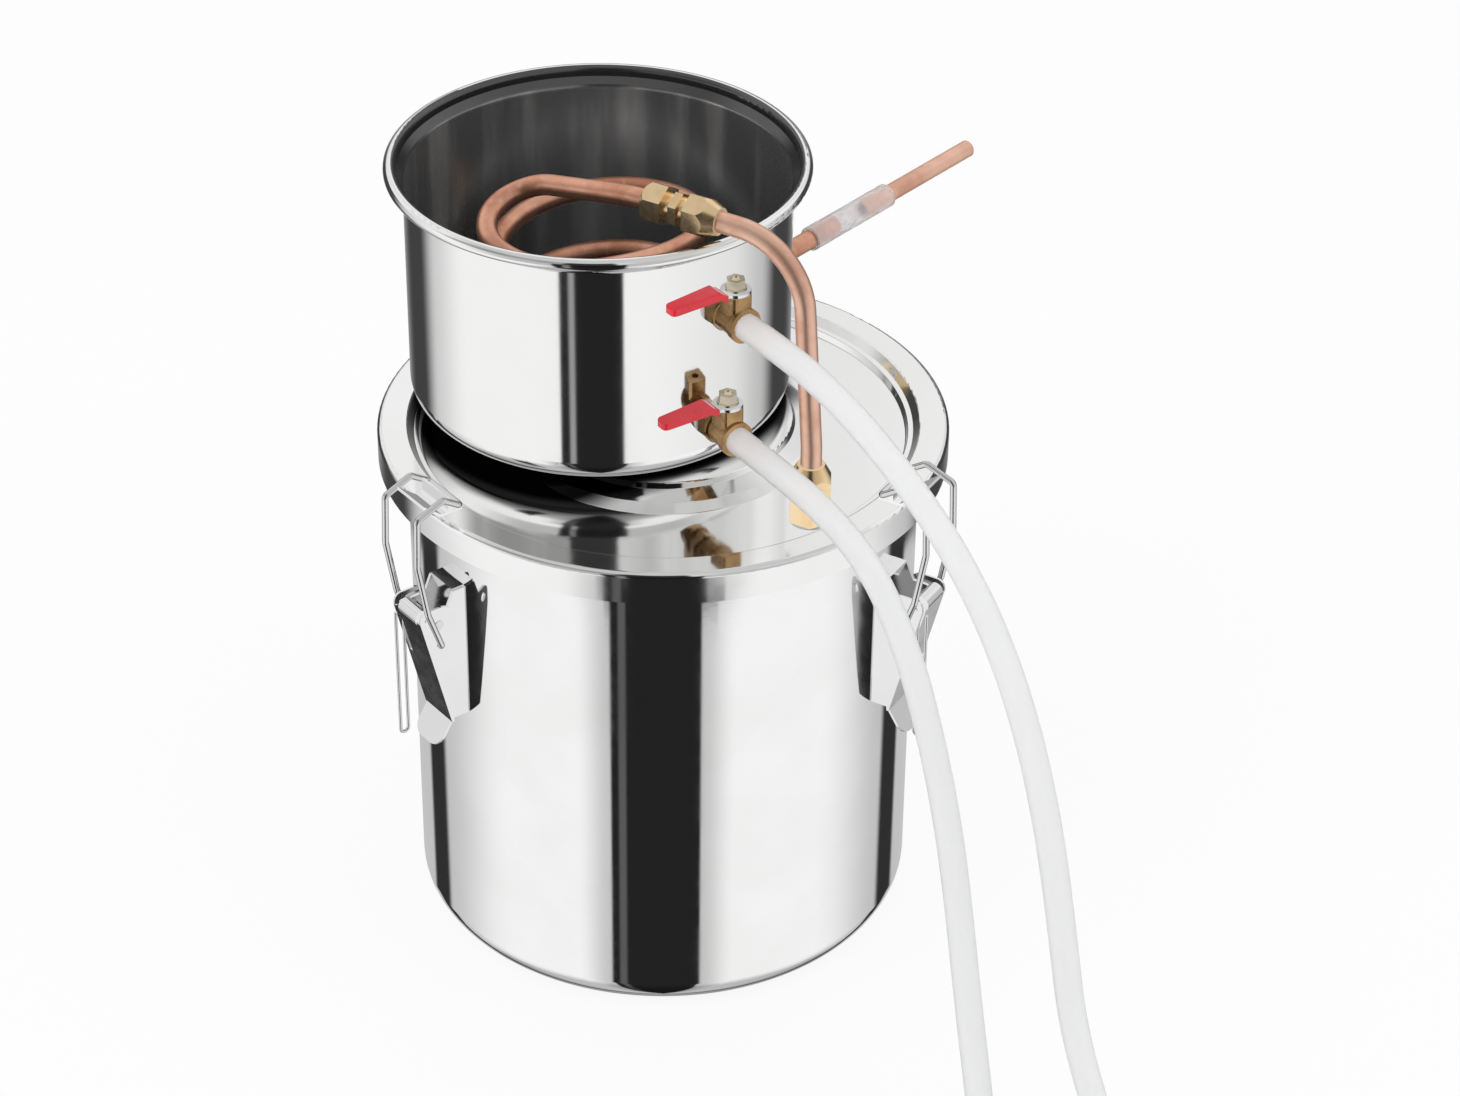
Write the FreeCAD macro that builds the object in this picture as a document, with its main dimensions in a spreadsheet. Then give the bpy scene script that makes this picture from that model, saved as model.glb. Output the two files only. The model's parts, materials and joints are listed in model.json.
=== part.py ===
import FreeCAD, Part
import Sketcher
import math
import os

# Home pot still: a boiler pot with a clamped lid, a condenser bucket with a copper coil on it,
# two small ball valves with hoses, and a product outlet.
# Millimetres. Origin at the centre of the pot's base, +Z up, -Y towards the valves.

# Driving dimensions
SIZES = {
    # boiler pot
    "pot_radius": 125.0,
    "pot_wall": 0.8,
    "pot_height": 266.0,
    "pot_corner": 15.0,
    "rim_reach": 10.0,
    "rim_drop": 4.0,
    "gasket_thick": 3.0,
    "gasket_inset": 1.0,
    "gasket_width": 7.5,
    # lid
    "lid_wall": 1.0,
    "lid_overhang": 3.0,
    "lid_skirt": 16.0,
    "lid_bend": 2.5,
    "lid_flange_width": 14.5,
    "lid_recess": 8.0,
    "lid_recess_slope": 6.5,
    "lid_ledge": 3.0,
    "lid_step_run": 1.0,
    "lid_edge_round": 1.0,
    "lid_foot_round": 0.8,
    "lid_step_round": 0.5,
    "lid_band_radius": 76.0,
    "lid_band_width": 4.0,
    "lid_band_rise": 4.0,
    "lid_slope_rise": 2.5,
    "lid_centre_radius": 63.0,
    "lid_centre_rise": 3.0,
    # condenser bucket
    "bucket_x": -31.0,
    "bucket_y": 27.0,
    "bucket_inset": 32.0,
    "bucket_wall": 0.8,
    "bucket_height": 125.5,
    "bucket_corner": 12.0,
    "bucket_flare": 4.0,
    "bucket_flare_height": 3.5,
    "bucket_flare_round": 3.0,
    "bead_radius": 3.0,
    "bead_reach": 9.0,
    # copper tube
    "copper_radius": 5.0,
    "copper_wall": 1.0,
    # vapour pipe and its fittings
    "vapour_inset": 19.5,
    "vapour_place": -49.34,
    "vapour_upright": 40.0,
    "vapour_lean_x": -6.3,
    "vapour_lean_y": 2.3,
    "vapour_over_rim": 10.0,
    "vapour_bend": 35.0,
    "vapour_heading": 148.0,
    "seal_thick": 1.5,
    "fitting_flats": 17.5,
    "fitting_nose_radius": 6.6,
    "foot_flats": 19.0,
    "gland_flats": 17.0,
    "gland_nut_flats": 15.0,
    "connector_tail_radius": 6.0,
    "connector_tail_length": 11.0,
    "connector_hex": 10.5,
    "locknut_thick": 4.0,
    "thread_radius": 6.4,
    "ferrule_length": 3.0,
    "ferrule_lip": 0.6,
    "fitting_nut_length": 19.0,
    "fitting_nose": 4.0,
    "fitting_cone": 8.3,
    "tail_cone": 2.2,
    "tube_depth": 14.0,
    "hole_clearance": 0.3,
    "slip_clearance": 0.05,
    "union_start": 43.3,
    "union_nut_length": 15.8,
    "union_thread_bare": 3.8,
    "union_hex": 4.2,
    "union_flats": 15.0,
    "union_web": 4.0,
    "union_tail_nut": 10.9,
    # coil
    "coil_gap": 42.2,
    "coil_pitch": 35.0,
    "coil_rise": 95.5,
    "coil_head_reach": 135.3,
    "coil_head_radius": 19.5,
    "coil_head_drop": 8.2,
    "coil_head_fall": 3.2,
    # outlet
    "outlet_heading": 49.0,
    "outlet_rise": 13.5,
    "gland_tail_radius": 6.5,
    "gland_tail_length": 9.0,
    "gland_hex": 9.0,
    "gland_nut_gap": 2.2,
    "coil_tail_out": 89.0,
    "sleeve_out": 70.0,
    "sleeve_length": 63.0,
    "sleeve_wall": 1.4,
    "sleeve_step_out": 100.0,
    "spout_radius": 4.6,
    "spout_neck_radius": 4.3,
    "spout_neck_out": 112.0,
    "spout_shoulder_gap": 1.0,
    "spout_length": 70.0,
    # valves
    "valve_upper_heading": -54.0,
    "valve_lower_heading": -56.0,
    "valve_upper_rise": 88.0,
    "valve_lower_rise": 28.2,
    "valve_tail_radius": 5.0,
    "valve_tail_length": 8.0,
    "valve_hex_flats": 14.0,
    "valve_hex_length": 7.0,
    "valve_barrel_radius": 7.5,
    "valve_stem_reach": 16.0,
    "valve_collar_reach": 22.0,
    "valve_collar_radius": 8.6,
    "valve_collar_thick": 2.0,
    "valve_barb_length": 16.0,
    "valve_barb_radius": 3.9,
    "valve_bore": 2.6,
    "valve_chamber": 5.0,
    "valve_ball_radius": 4.6,
    "valve_seat_thick": 1.6,
    "valve_seat_inner": 2.6,
    "valve_ball_flat": 4.2,
    "valve_ring_radius": 8.3,
    "valve_ring_thick": 1.6,
    "valve_ring_groove": 0.5,
    "valve_tower_half": 5.8,
    "valve_tower_corner": 7.3,
    "valve_tower_height": 14.6,
    "valve_stem_radius": 2.2,
    "valve_lever_gap": 0.4,
    "valve_lever_thick": 1.5,
    "valve_lever_half": 4.2,
    "valve_lever_tip_half": 2.7,
    "valve_lever_neck": 8.5,
    "valve_lever_shoulder": 11.5,
    "valve_lever_step": 2.2,
    "valve_lever_length": 37.2,
    "valve_lever_fall": 0.8,
    "valve_disc_radius": 7.2,
    "valve_flange_radius": 5.2,
    "valve_flange_thick": 1.0,
    "valve_nut_flats": 8.0,
    "valve_nut_thick": 5.2,
    "valve_nut_recess": 0.8,
    "grip_start": 8.0,
    "grip_cover": 1.0,
    "grip_round": 2.0,
    # hoses
    "hose_radius": 6.5,
    "hose_bore_radius": 4.5,
    "hose_coil_inner": 59.4,
    "hose_coil_outer": 88.0,
    "upper_coil_x": 304.7,
    "upper_coil_y": -332.8,
    "lower_coil_x": 71.0,
    "lower_coil_y": -319.4,
    # latches
    "latch_left_heading": -53.5,
    "latch_right_heading": 58.5,
    "latch_back_heading": 183.0,
    "latch_pin_out": 16.0,
    "latch_pin_drop": 55.4,
    "latch_pin_radius": 2.5,
    "latch_pin_proud": 0.4,
    "latch_boss": 5.6,
    "latch_cheek_half": 10.0,
    "latch_cheek_thick": 1.5,
    "latch_block_half": 9.0,
    "latch_block_reach": 6.5,
    "latch_block_drop": 40.0,
    "latch_block_length": 76.0,
    "latch_block_taper": 15.0,
    "latch_block_toe": 5.0,
    "latch_side_gap": 0.4,
    "lever_sheet": 1.2,
    "lever_round": 9.5,
    "lever_top_out": 10.4,
    "lever_top_up": 3.9,
    "lever_tip_in": 5.5,
    "lever_tip_down": 59.6,
    "lever_tab_length": 16.0,
    "lever_tab_half": 10.6,
    "lever_tab_round": 7.0,
    "lever_tab_angle": 33.0,
    "barrel_out": 7.0,
    "barrel_up": 4.9,
    "barrel_radius": 4.0,
    "barrel_left": 6.5,
    "barrel_right": 8.2,
    "clip_wire": 0.8,
    "clip_side": 8.5,
    "clip_spread": 4.4,
    "clip_length": 75.0,
    "clip_short": 4.0,
    "clip_bend": 2.1,
    "clip_slot": 1.2,
    "bail_wire": 1.6,
    "bail_half": 13.5,
    "bail_stub": 10.2,
    "bail_pivot_in": 0.2,
    "bail_pivot_down": 11.6,
    "bail_bend": 2.6,
    "keeper_half": 11.0,
    "keeper_sheet": 1.2,
    "keeper_lip_in": 8.4,
    "keeper_lip_rise": 8.5,
    "keeper_out": 8.0,
    "keeper_rise": 9.0,
}

# Length of a tool that goes right through a small piece, and the margin past a face
THROUGH = 60.0
PAST = 1.0

# Share of its half width that rounds an edge almost fully
SOFT = 0.9

# Largest shares of a run that one arc may take: in hoses, in the pipe, in the coil and in wire
HOSE_SHARE = 0.45
PIPE_SHARE = 0.9
COIL_SHARE = 0.48
WIRE_SHARE = 0.49

document = FreeCAD.newDocument("pot_still")
sheet = document.addObject("Spreadsheet::Sheet", "sizes")
for row, alias in enumerate(SIZES, 1):
    sheet.set("A%d" % row, alias)
    sheet.set("B%d" % row, str(SIZES[alias]))
    sheet.setAlias("B%d" % row, alias)
document.recompute()


class Size:
    """A number together with the sheet formula that gives it."""

    def __init__(self, formula, number):
        self.formula = formula
        self.number = number

    def __float__(self):
        return float(self.number)

    def __add__(self, other):
        return Size("(%s + %s)" % (formula(self), formula(other)), float(self) + float(other))

    def __radd__(self, other):
        return Size("(%s + %s)" % (formula(other), formula(self)), float(other) + float(self))

    def __sub__(self, other):
        return Size("(%s - %s)" % (formula(self), formula(other)), float(self) - float(other))

    def __rsub__(self, other):
        return Size("(%s - %s)" % (formula(other), formula(self)), float(other) - float(self))

    def __mul__(self, other):
        return Size("(%s * %s)" % (formula(self), formula(other)), float(self) * float(other))

    def __rmul__(self, other):
        return Size("(%s * %s)" % (formula(other), formula(self)), float(other) * float(self))

    def __truediv__(self, other):
        return Size("(%s / %s)" % (formula(self), formula(other)), float(self) / float(other))

    def __neg__(self):
        return Size("(0 - %s)" % formula(self), -float(self))


def formula(value):
    """The sheet formula of a size, or the text of a plain number."""
    if isinstance(value, Size):
        return value.formula
    return repr(float(value))


class Sheet:
    """Gives each alias of the sheet as a size."""

    def __getattr__(self, alias):
        return Size("sizes." + alias, float(sheet.get(alias)))


dim = Sheet()


def cosine(angle):
    return Size("cos(%s)" % formula(angle), math.cos(math.radians(float(angle))))


def sine(angle):
    return Size("sin(%s)" % formula(angle), math.sin(math.radians(float(angle))))


def bind(thing, name, value):
    """Sets a property and ties it to the sheet."""
    setattr(thing, name, float(value))
    if isinstance(value, Size):
        thing.setExpression(name, value.formula)


def place(thing, spot=(0, 0, 0), turn=None):
    """Gives a thing its place, with each coordinate tied to the sheet."""
    rotation = turn if turn else FreeCAD.Rotation()
    thing.Placement = FreeCAD.Placement(FreeCAD.Vector(*[float(value) for value in spot]), rotation)
    for axis, value in zip("xyz", spot):
        if isinstance(value, Size):
            thing.setExpression(".Placement.Base." + axis, value.formula)
    return thing


def about_z(angle):
    return FreeCAD.Rotation(FreeCAD.Vector(0, 0, 1), float(angle))


def along_x():
    """Turns a thing made along +Z to lie along +X."""
    return FreeCAD.Rotation(FreeCAD.Vector(0, 1, 0), 90)


def along_y():
    """Turns a thing made along +Z to lie along +Y."""
    return FreeCAD.Rotation(FreeCAD.Vector(1, 0, 0), -90)


# Building blocks

def cylinder(radius, height, spot=(0, 0, 0), turn=None):
    made = document.addObject("Part::Cylinder", "cylinder")
    bind(made, "Radius", radius)
    bind(made, "Height", height)
    return place(made, spot, turn)


def cone(low_radius, high_radius, height, spot=(0, 0, 0), turn=None):
    made = document.addObject("Part::Cone", "cone")
    bind(made, "Radius1", low_radius)
    bind(made, "Radius2", high_radius)
    bind(made, "Height", height)
    return place(made, spot, turn)


def sphere(radius, spot=(0, 0, 0)):
    made = document.addObject("Part::Sphere", "sphere")
    bind(made, "Radius", radius)
    return place(made, spot)


def box(length, width, height, spot=(0, 0, 0), turn=None):
    made = document.addObject("Part::Box", "box")
    bind(made, "Length", length)
    bind(made, "Width", width)
    bind(made, "Height", height)
    return place(made, spot, turn)


def hexagon(flats, height, spot=(0, 0, 0), turn=None):
    """A six-sided prism measured across its flats."""
    made = document.addObject("Part::Prism", "hexagon")
    made.Polygon = 6
    bind(made, "Circumradius", flats / math.sqrt(3))
    bind(made, "Height", height)
    return place(made, spot, turn)


def fuse(name, *pieces):
    made = document.addObject("Part::MultiFuse", name)
    made.Shapes = list(pieces)
    made.Refine = True
    return made


def common(name, *pieces):
    made = document.addObject("Part::MultiCommon", name)
    made.Shapes = list(pieces)
    return made


def cut(name, base, *tools):
    tool = tools[0] if len(tools) == 1 else fuse(name + "_tools", *tools)
    made = document.addObject("Part::Cut", name)
    made.Base = base
    made.Tool = tool
    made.Refine = True
    return made


def group(name, *pieces):
    """Several separate solids that share one node."""
    made = document.addObject("Part::Compound", name)
    made.Links = list(pieces)
    return made


def shaped(name, shape):
    """A piece whose shape is made from a path."""
    made = document.addObject("Part::Feature", name)
    made.Shape = shape
    made.Placement = FreeCAD.Placement()
    return made


# Sketched pieces

def rounding(before, corner, after, radius):
    """The two tangent points and the middle of the arc that rounds a corner."""
    back = (before - corner).normalize()
    ahead = (after - corner).normalize()
    half = back.getAngle(ahead) / 2
    reach = radius / math.tan(half)
    bisector = (back + ahead).normalize()
    middle = corner + bisector * (radius / math.sin(half) - radius)
    return corner + back * reach, middle, corner + ahead * reach


def outline(sketch, corners):
    """Draws a closed outline through corners given as (across, up) or (across, up, rounding)."""
    count = len(corners)
    spots = [FreeCAD.Vector(float(corner[0]), float(corner[1]), 0) for corner in corners]
    starts = list(spots)
    ends = list(spots)
    middles = [None] * count
    for index, corner in enumerate(corners):
        if len(corner) > 2:
            before = spots[index - 1]
            after = spots[(index + 1) % count]
            ends[index], middles[index], starts[index] = rounding(before, spots[index], after, float(corner[2]))
    rules = []
    formulas = []
    for index in range(count):
        sketch.addGeometry(Part.LineSegment(starts[index], ends[(index + 1) % count]), False)

    def tie(kind, piece, point, value):
        """Holds a point's distance from the origin along one axis."""
        if float(value) == 0:
            axis_line = -2 if kind == "DistanceX" else -1
            rules.append(Sketcher.Constraint("PointOnObject", piece, point, axis_line))
            return
        rules.append(Sketcher.Constraint(kind, -1, 1, piece, point, float(value)))
        if isinstance(value, Size):
            formulas.append((len(rules) - 1, value.formula))

    for index, corner in enumerate(corners):
        side_before = (index - 1) % count
        side_after = index
        if middles[index] is None:
            rules.append(Sketcher.Constraint("Coincident", side_before, 2, side_after, 1))
            tie("DistanceX", side_after, 1, corner[0])
            tie("DistanceY", side_after, 1, corner[1])
            continue
        arc = sketch.addGeometry(Part.Arc(ends[index], middles[index], starts[index]), False)
        first = sketch.getPoint(arc, 1)
        arc_in, arc_out = (1, 2) if (first - ends[index]).Length < (first - starts[index]).Length else (2, 1)
        knot = sketch.addGeometry(Part.Point(spots[index]), True)
        rules.append(Sketcher.Constraint("Tangent", side_before, 2, arc, arc_in))
        rules.append(Sketcher.Constraint("Tangent", side_after, 1, arc, arc_out))
        rules.append(Sketcher.Constraint("Radius", arc, float(corner[2])))
        if isinstance(corner[2], Size):
            formulas.append((len(rules) - 1, corner[2].formula))
        rules.append(Sketcher.Constraint("PointOnObject", knot, 1, side_before))
        rules.append(Sketcher.Constraint("PointOnObject", knot, 1, side_after))
        tie("DistanceX", knot, 1, corner[0])
        tie("DistanceY", knot, 1, corner[1])
    sketch.addConstraint(rules)
    for number, text in formulas:
        sketch.setExpression("Constraints[%d]" % number, text)


def drawn(body, plane, corners):
    """A sketch with an outline on one of the body's own planes."""
    sketch = body.newObject("Sketcher::SketchObject", "sketch")
    face = [feature for feature in body.Origin.OriginFeatures if feature.Role == plane][0]
    sketch.AttachmentSupport = [(face, "")]
    sketch.MapMode = "FlatFace"
    document.recompute()
    outline(sketch, corners)
    return sketch


def turned(name, corners):
    """A body of revolution about Z from an outline of (radius, height) corners."""
    body = document.addObject("PartDesign::Body", name)
    sketch = drawn(body, "XZ_Plane", corners)
    feature = body.newObject("PartDesign::Revolution", "revolution")
    feature.Profile = sketch
    feature.ReferenceAxis = (sketch, ["V_Axis"])
    feature.Angle = 360
    body.Tip = feature
    return body


def slab(name, plane, corners, thickness, both_ways=False):
    """A body padded from an outline."""
    body = document.addObject("PartDesign::Body", name)
    sketch = drawn(body, plane, corners)
    feature = body.newObject("PartDesign::Pad", "pad")
    feature.Profile = sketch
    bind(feature, "Length", thickness)
    feature.Midplane = both_ways
    body.Tip = feature
    return body


# Tubes and wires along a path

def rounded_path(points, bend, share):
    """Straight runs through the points, joined by tangent arcs.

    Each arc has the bend radius, or where none is given the largest that its share of the
    shorter run allows. Gives the wire and the radii.
    """
    spots = [FreeCAD.Vector(*[float(value) for value in point]) for point in points]
    edges = []
    radii = []
    last = spots[0]
    for before, corner, after in zip(spots, spots[1:], spots[2:]):
        shorter = min((corner - before).Length, (after - corner).Length)
        half_turn = (math.pi - (before - corner).getAngle(after - corner)) / 2
        radius = share * shorter / math.tan(half_turn)
        if bend:
            radius = min(radius, float(bend))
        start, middle, end = rounding(before, corner, after, radius)
        if (start - last).Length > 1e-4:
            edges.append(Part.LineSegment(last, start).toShape())
        edges.append(Part.Arc(start, middle, end).toShape())
        radii.append(radius)
        last = end
    edges.append(Part.LineSegment(last, spots[-1]).toShape())
    return Part.Wire(edges), radii


def swept(path, radius, bore=0):
    """A round bar or tube along a path."""
    start = path.Edges[0].Vertexes[0].Point
    heading = path.Edges[0].tangentAt(path.Edges[0].FirstParameter)

    def bar(size):
        ring = Part.Wire([Part.Circle(start, heading, float(size)).toShape()])
        return path.makePipeShell([ring], True, False)

    solid = bar(radius)
    if float(bore):
        solid = solid.cut(bar(bore))
    return solid


def report_path(name, points, path, radii, radius, bore, shape):
    """Prints a path's length, its radii and how its volume compares with section times length."""
    section = math.pi * (float(radius) ** 2 - float(bore) ** 2)
    ratio = shape.Volume / (section * path.Length)
    print("%s: %d points, length %.0f, volume ratio %.4f" % (name, len(points), path.Length, ratio))
    print("   radii " + " ".join("%.0f" % value for value in radii))


def tube(name, points, radius, bore, bend, share):
    path, radii = rounded_path(points, bend, share)
    shape = swept(path, radius, bore)
    report_path(name, points, path, radii, radius, bore, shape)
    return shaped(name, shape)


# Boiler pot, with a turned-out rim whose edge is rolled down
pot_inner = dim.pot_radius - dim.pot_wall
rim_outer = dim.pot_radius + dim.rim_reach
rim_under = dim.pot_height - dim.pot_wall
RIM_BEND = 1.2

boiler_pot = turned("boiler_pot", [
    (0, 0),
    (dim.pot_radius, 0, dim.pot_corner),
    (dim.pot_radius, rim_under, RIM_BEND),
    (rim_outer - dim.pot_wall, rim_under),
    (rim_outer - dim.pot_wall, dim.pot_height - dim.rim_drop),
    (rim_outer, dim.pot_height - dim.rim_drop),
    (rim_outer, dim.pot_height, RIM_BEND),
    (pot_inner, dim.pot_height, RIM_BEND + dim.pot_wall),
    (pot_inner, dim.pot_wall, dim.pot_corner - dim.pot_wall),
    (0, dim.pot_wall),
])

# Gasket between the rim and the lid
gasket_outer = rim_outer - dim.gasket_inset
gasket_inner = gasket_outer - dim.gasket_width
gasket_top = dim.pot_height + dim.gasket_thick
GASKET_ROUND = 1.0

lid_gasket = turned("lid_gasket", [
    (gasket_inner, dim.pot_height, GASKET_ROUND),
    (gasket_outer, dim.pot_height, GASKET_ROUND),
    (gasket_outer, gasket_top, GASKET_ROUND),
    (gasket_inner, gasket_top, GASKET_ROUND),
])

# Lid: skirt, flat flange, stepped wall down to a floor, and a raised centre
lid_top = gasket_top + dim.lid_wall
lid_outer = rim_outer + dim.lid_overhang + dim.lid_wall
lid_floor = lid_top - dim.lid_recess
flange_inner = lid_outer - dim.lid_flange_width
recess_foot = flange_inner - dim.lid_recess_slope
band_inner = dim.lid_band_radius - dim.lid_band_width
band_top = lid_floor + dim.lid_band_rise
slope_inner = dim.lid_centre_radius + dim.lid_step_run
slope_top = band_top + dim.lid_slope_rise
centre_top = slope_top + dim.lid_centre_rise
step_half = dim.lid_recess / 2
SLOPE_SHARE = 0.7
wall_shift = dim.lid_wall * SLOPE_SHARE

lid_sheet = turned("lid_sheet", [
    (0, centre_top - dim.lid_wall),
    (dim.lid_centre_radius - wall_shift, centre_top - dim.lid_wall),
    (slope_inner - wall_shift, slope_top - dim.lid_wall),
    (band_inner - wall_shift, band_top - dim.lid_wall),
    (dim.lid_band_radius - wall_shift, lid_floor - dim.lid_wall),
    (recess_foot + wall_shift, lid_floor - dim.lid_wall),
    (recess_foot + wall_shift + dim.lid_step_run, lid_floor - dim.lid_wall + step_half),
    (flange_inner + wall_shift - dim.lid_ledge, lid_floor - dim.lid_wall + step_half),
    (flange_inner + wall_shift, lid_top - dim.lid_wall),
    (lid_outer - dim.lid_wall, lid_top - dim.lid_wall, dim.lid_bend - dim.lid_wall),
    (lid_outer - dim.lid_wall, lid_top - dim.lid_skirt),
    (lid_outer, lid_top - dim.lid_skirt),
    (lid_outer, lid_top, dim.lid_bend),
    (flange_inner, lid_top, dim.lid_edge_round),
    (flange_inner - dim.lid_ledge, lid_floor + step_half, dim.lid_step_round),
    (recess_foot + dim.lid_step_run, lid_floor + step_half, dim.lid_step_round),
    (recess_foot, lid_floor, dim.lid_foot_round),
    (dim.lid_band_radius, lid_floor, dim.lid_foot_round),
    (band_inner, band_top, dim.lid_edge_round),
    (slope_inner, slope_top, dim.lid_step_round),
    (dim.lid_centre_radius, centre_top, dim.lid_foot_round),
    (0, centre_top),
])
vapour_reach = dim.pot_radius - dim.vapour_inset
vapour_x = vapour_reach * cosine(dim.vapour_place)
vapour_y = vapour_reach * sine(dim.vapour_place)
lid = cut("lid", lid_sheet, cylinder(
    dim.connector_tail_radius + dim.hole_clearance, THROUGH, (vapour_x, vapour_y, lid_floor - THROUGH / 2)))

# Condenser bucket: flared wall with a rolled bead, standing on the lid's raised centre
bucket_radius = dim.pot_radius - dim.bucket_inset
bucket_base = centre_top
bucket_top = bucket_base + dim.bucket_height
bucket_inner = bucket_radius - dim.bucket_wall
bead_outer = bucket_radius + dim.bead_reach
bead_inner = bead_outer - 2 * dim.bead_radius
bead_low = bucket_top - 2 * dim.bead_radius
flare_foot = bead_low - dim.bucket_flare_height
BEAD_ROUND = 0.97

bucket_sheet = turned("bucket_sheet", [
    (0, bucket_base),
    (bucket_radius, bucket_base, dim.bucket_corner),
    (bucket_radius, flare_foot, dim.bucket_flare_round),
    (bucket_radius + dim.bucket_flare, bead_low),
    (bead_outer, bead_low, dim.bead_radius * BEAD_ROUND),
    (bead_outer, bucket_top, dim.bead_radius * BEAD_ROUND),
    (bead_inner, bucket_top, dim.bead_radius * BEAD_ROUND),
    (bead_inner, bead_low + dim.bucket_wall),
    (bucket_inner, flare_foot + dim.bucket_wall / 2, dim.bucket_flare_round),
    (bucket_inner, bucket_base + dim.bucket_wall, dim.bucket_corner - dim.bucket_wall),
    (0, bucket_base + dim.bucket_wall),
])
place(bucket_sheet, (dim.bucket_x, dim.bucket_y, 0))


def from_bucket(heading, reach, height):
    """A place at a reach from the bucket's axis, in a heading measured from +X."""
    return (dim.bucket_x + reach * cosine(heading), dim.bucket_y + reach * sine(heading), height)


def wall_drill(heading, height, radius):
    """A drill through one side of the bucket's wall."""
    start = from_bucket(heading, bucket_radius - 2 * dim.bucket_corner, height)
    return cylinder(radius, 4 * dim.bucket_corner, start, about_z(heading).multiply(along_x()))


outlet_height = bucket_base + dim.outlet_rise
valve_places = {
    "upper": (dim.valve_upper_heading, bucket_base + dim.valve_upper_rise),
    "lower": (dim.valve_lower_heading, bucket_base + dim.valve_lower_rise),
}
condenser_bucket = cut(
    "condenser_bucket", bucket_sheet,
    wall_drill(dim.outlet_heading, outlet_height, dim.gland_tail_radius + dim.hole_clearance),
    *[wall_drill(heading, height, dim.valve_tail_radius + dim.hole_clearance)
      for heading, height in valve_places.values()])

# Compression fitting in the lid: made along Z at the foot of the vapour pipe
copper_bore = dim.copper_radius - dim.copper_wall
tube_hole = dim.copper_radius + dim.slip_clearance
connector_foot = lid_floor + dim.seal_thick
connector_shoulder = connector_foot + dim.connector_hex
thread_length = dim.fitting_nut_length - dim.fitting_nose - dim.ferrule_length
vapour_end = connector_shoulder + thread_length - dim.tube_depth


def at_vapour(height):
    return (vapour_x, vapour_y, height)


hex_turn = about_z(dim.vapour_heading)
lid_connector = cut(
    "lid_connector",
    fuse(
        "lid_connector_blank",
        cylinder(dim.connector_tail_radius, dim.connector_tail_length + dim.seal_thick,
                 at_vapour(connector_foot - dim.connector_tail_length - dim.seal_thick)),
        hexagon(dim.foot_flats, dim.connector_hex, at_vapour(connector_foot), hex_turn),
        cylinder(dim.thread_radius, thread_length, at_vapour(connector_shoulder))),
    cylinder(copper_bore, THROUGH, at_vapour(vapour_end - THROUGH)),
    cylinder(tube_hole, dim.tube_depth + PAST, at_vapour(vapour_end)))

lid_connector_seal = cut(
    "lid_connector_seal",
    cylinder(dim.foot_flats / 2, dim.seal_thick, at_vapour(lid_floor)),
    cylinder(dim.connector_tail_radius, dim.seal_thick, at_vapour(lid_floor)))

locknut_top = lid_floor - dim.lid_wall
lid_connector_locknut = cut(
    "lid_connector_locknut",
    hexagon(dim.foot_flats, dim.locknut_thick, at_vapour(locknut_top - dim.locknut_thick), hex_turn),
    cylinder(dim.connector_tail_radius, dim.locknut_thick, at_vapour(locknut_top - dim.locknut_thick)))


def ferrule(low):
    """A tapered ring round the copper tube, made along +Z from a low end."""
    return cut(
        "ferrule",
        cone(dim.thread_radius, dim.copper_radius + dim.ferrule_lip, dim.ferrule_length, (0, 0, low)),
        cylinder(dim.copper_radius, dim.ferrule_length, (0, 0, low)))


def fitting_nut(name, flats, length, taper, nose_radius):
    """A compression nut along +Z: open thread at its foot, a cone with the tube's hole at its nose."""
    corner = flats / math.sqrt(3)
    shape = common(
        name + "_blank",
        hexagon(flats, length),
        fuse(
            name + "_envelope",
            cylinder(corner, length - taper),
            cone(corner, nose_radius, taper, (0, 0, length - taper))))
    return cut(
        name, shape,
        cylinder(dim.thread_radius, length - dim.fitting_nose),
        cylinder(tube_hole, length))


lid_connector_nut = place(
    fitting_nut("lid_connector_nut", dim.foot_flats, dim.fitting_nut_length, dim.fitting_cone,
                dim.fitting_nose_radius),
    at_vapour(connector_shoulder), hex_turn)
lid_connector_ferrule = place(ferrule(0), at_vapour(connector_shoulder + thread_length))

# Vapour pipe: upright through its nut, leaning to an elbow above the rim, then across the bucket
vapour_height = bucket_top + dim.vapour_over_rim
elbow_x = vapour_x + dim.vapour_lean_x
elbow_y = vapour_y + dim.vapour_lean_y
union_heading = (cosine(dim.vapour_heading), sine(dim.vapour_heading))


def along_union(reach):
    """A place on the union's axis at a reach from the pipe's elbow."""
    return (elbow_x + reach * union_heading[0], elbow_y + reach * union_heading[1], vapour_height)


union_thread = dim.union_nut_length - dim.fitting_nose - dim.ferrule_length
tail_thread = dim.union_tail_nut - dim.fitting_nose - dim.ferrule_length
inlet_open = dim.union_start + dim.union_nut_length
hex_start = inlet_open + dim.union_thread_bare
hex_end = hex_start + dim.union_hex
outlet_open = hex_end + dim.union_thread_bare
union_end = outlet_open + dim.union_tail_nut
thread_start = inlet_open - union_thread
thread_end = outlet_open + tail_thread
union_middle = (hex_start + hex_end) / 2
pipe_end = union_middle - dim.union_web / 2
coil_start = union_middle + dim.union_web / 2
vapour_pipe = tube(
    "vapour_pipe",
    [at_vapour(vapour_end), at_vapour(lid_floor + dim.vapour_upright), along_union(0), along_union(pipe_end)],
    dim.copper_radius, copper_bore, dim.vapour_bend, PIPE_SHARE)

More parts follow.
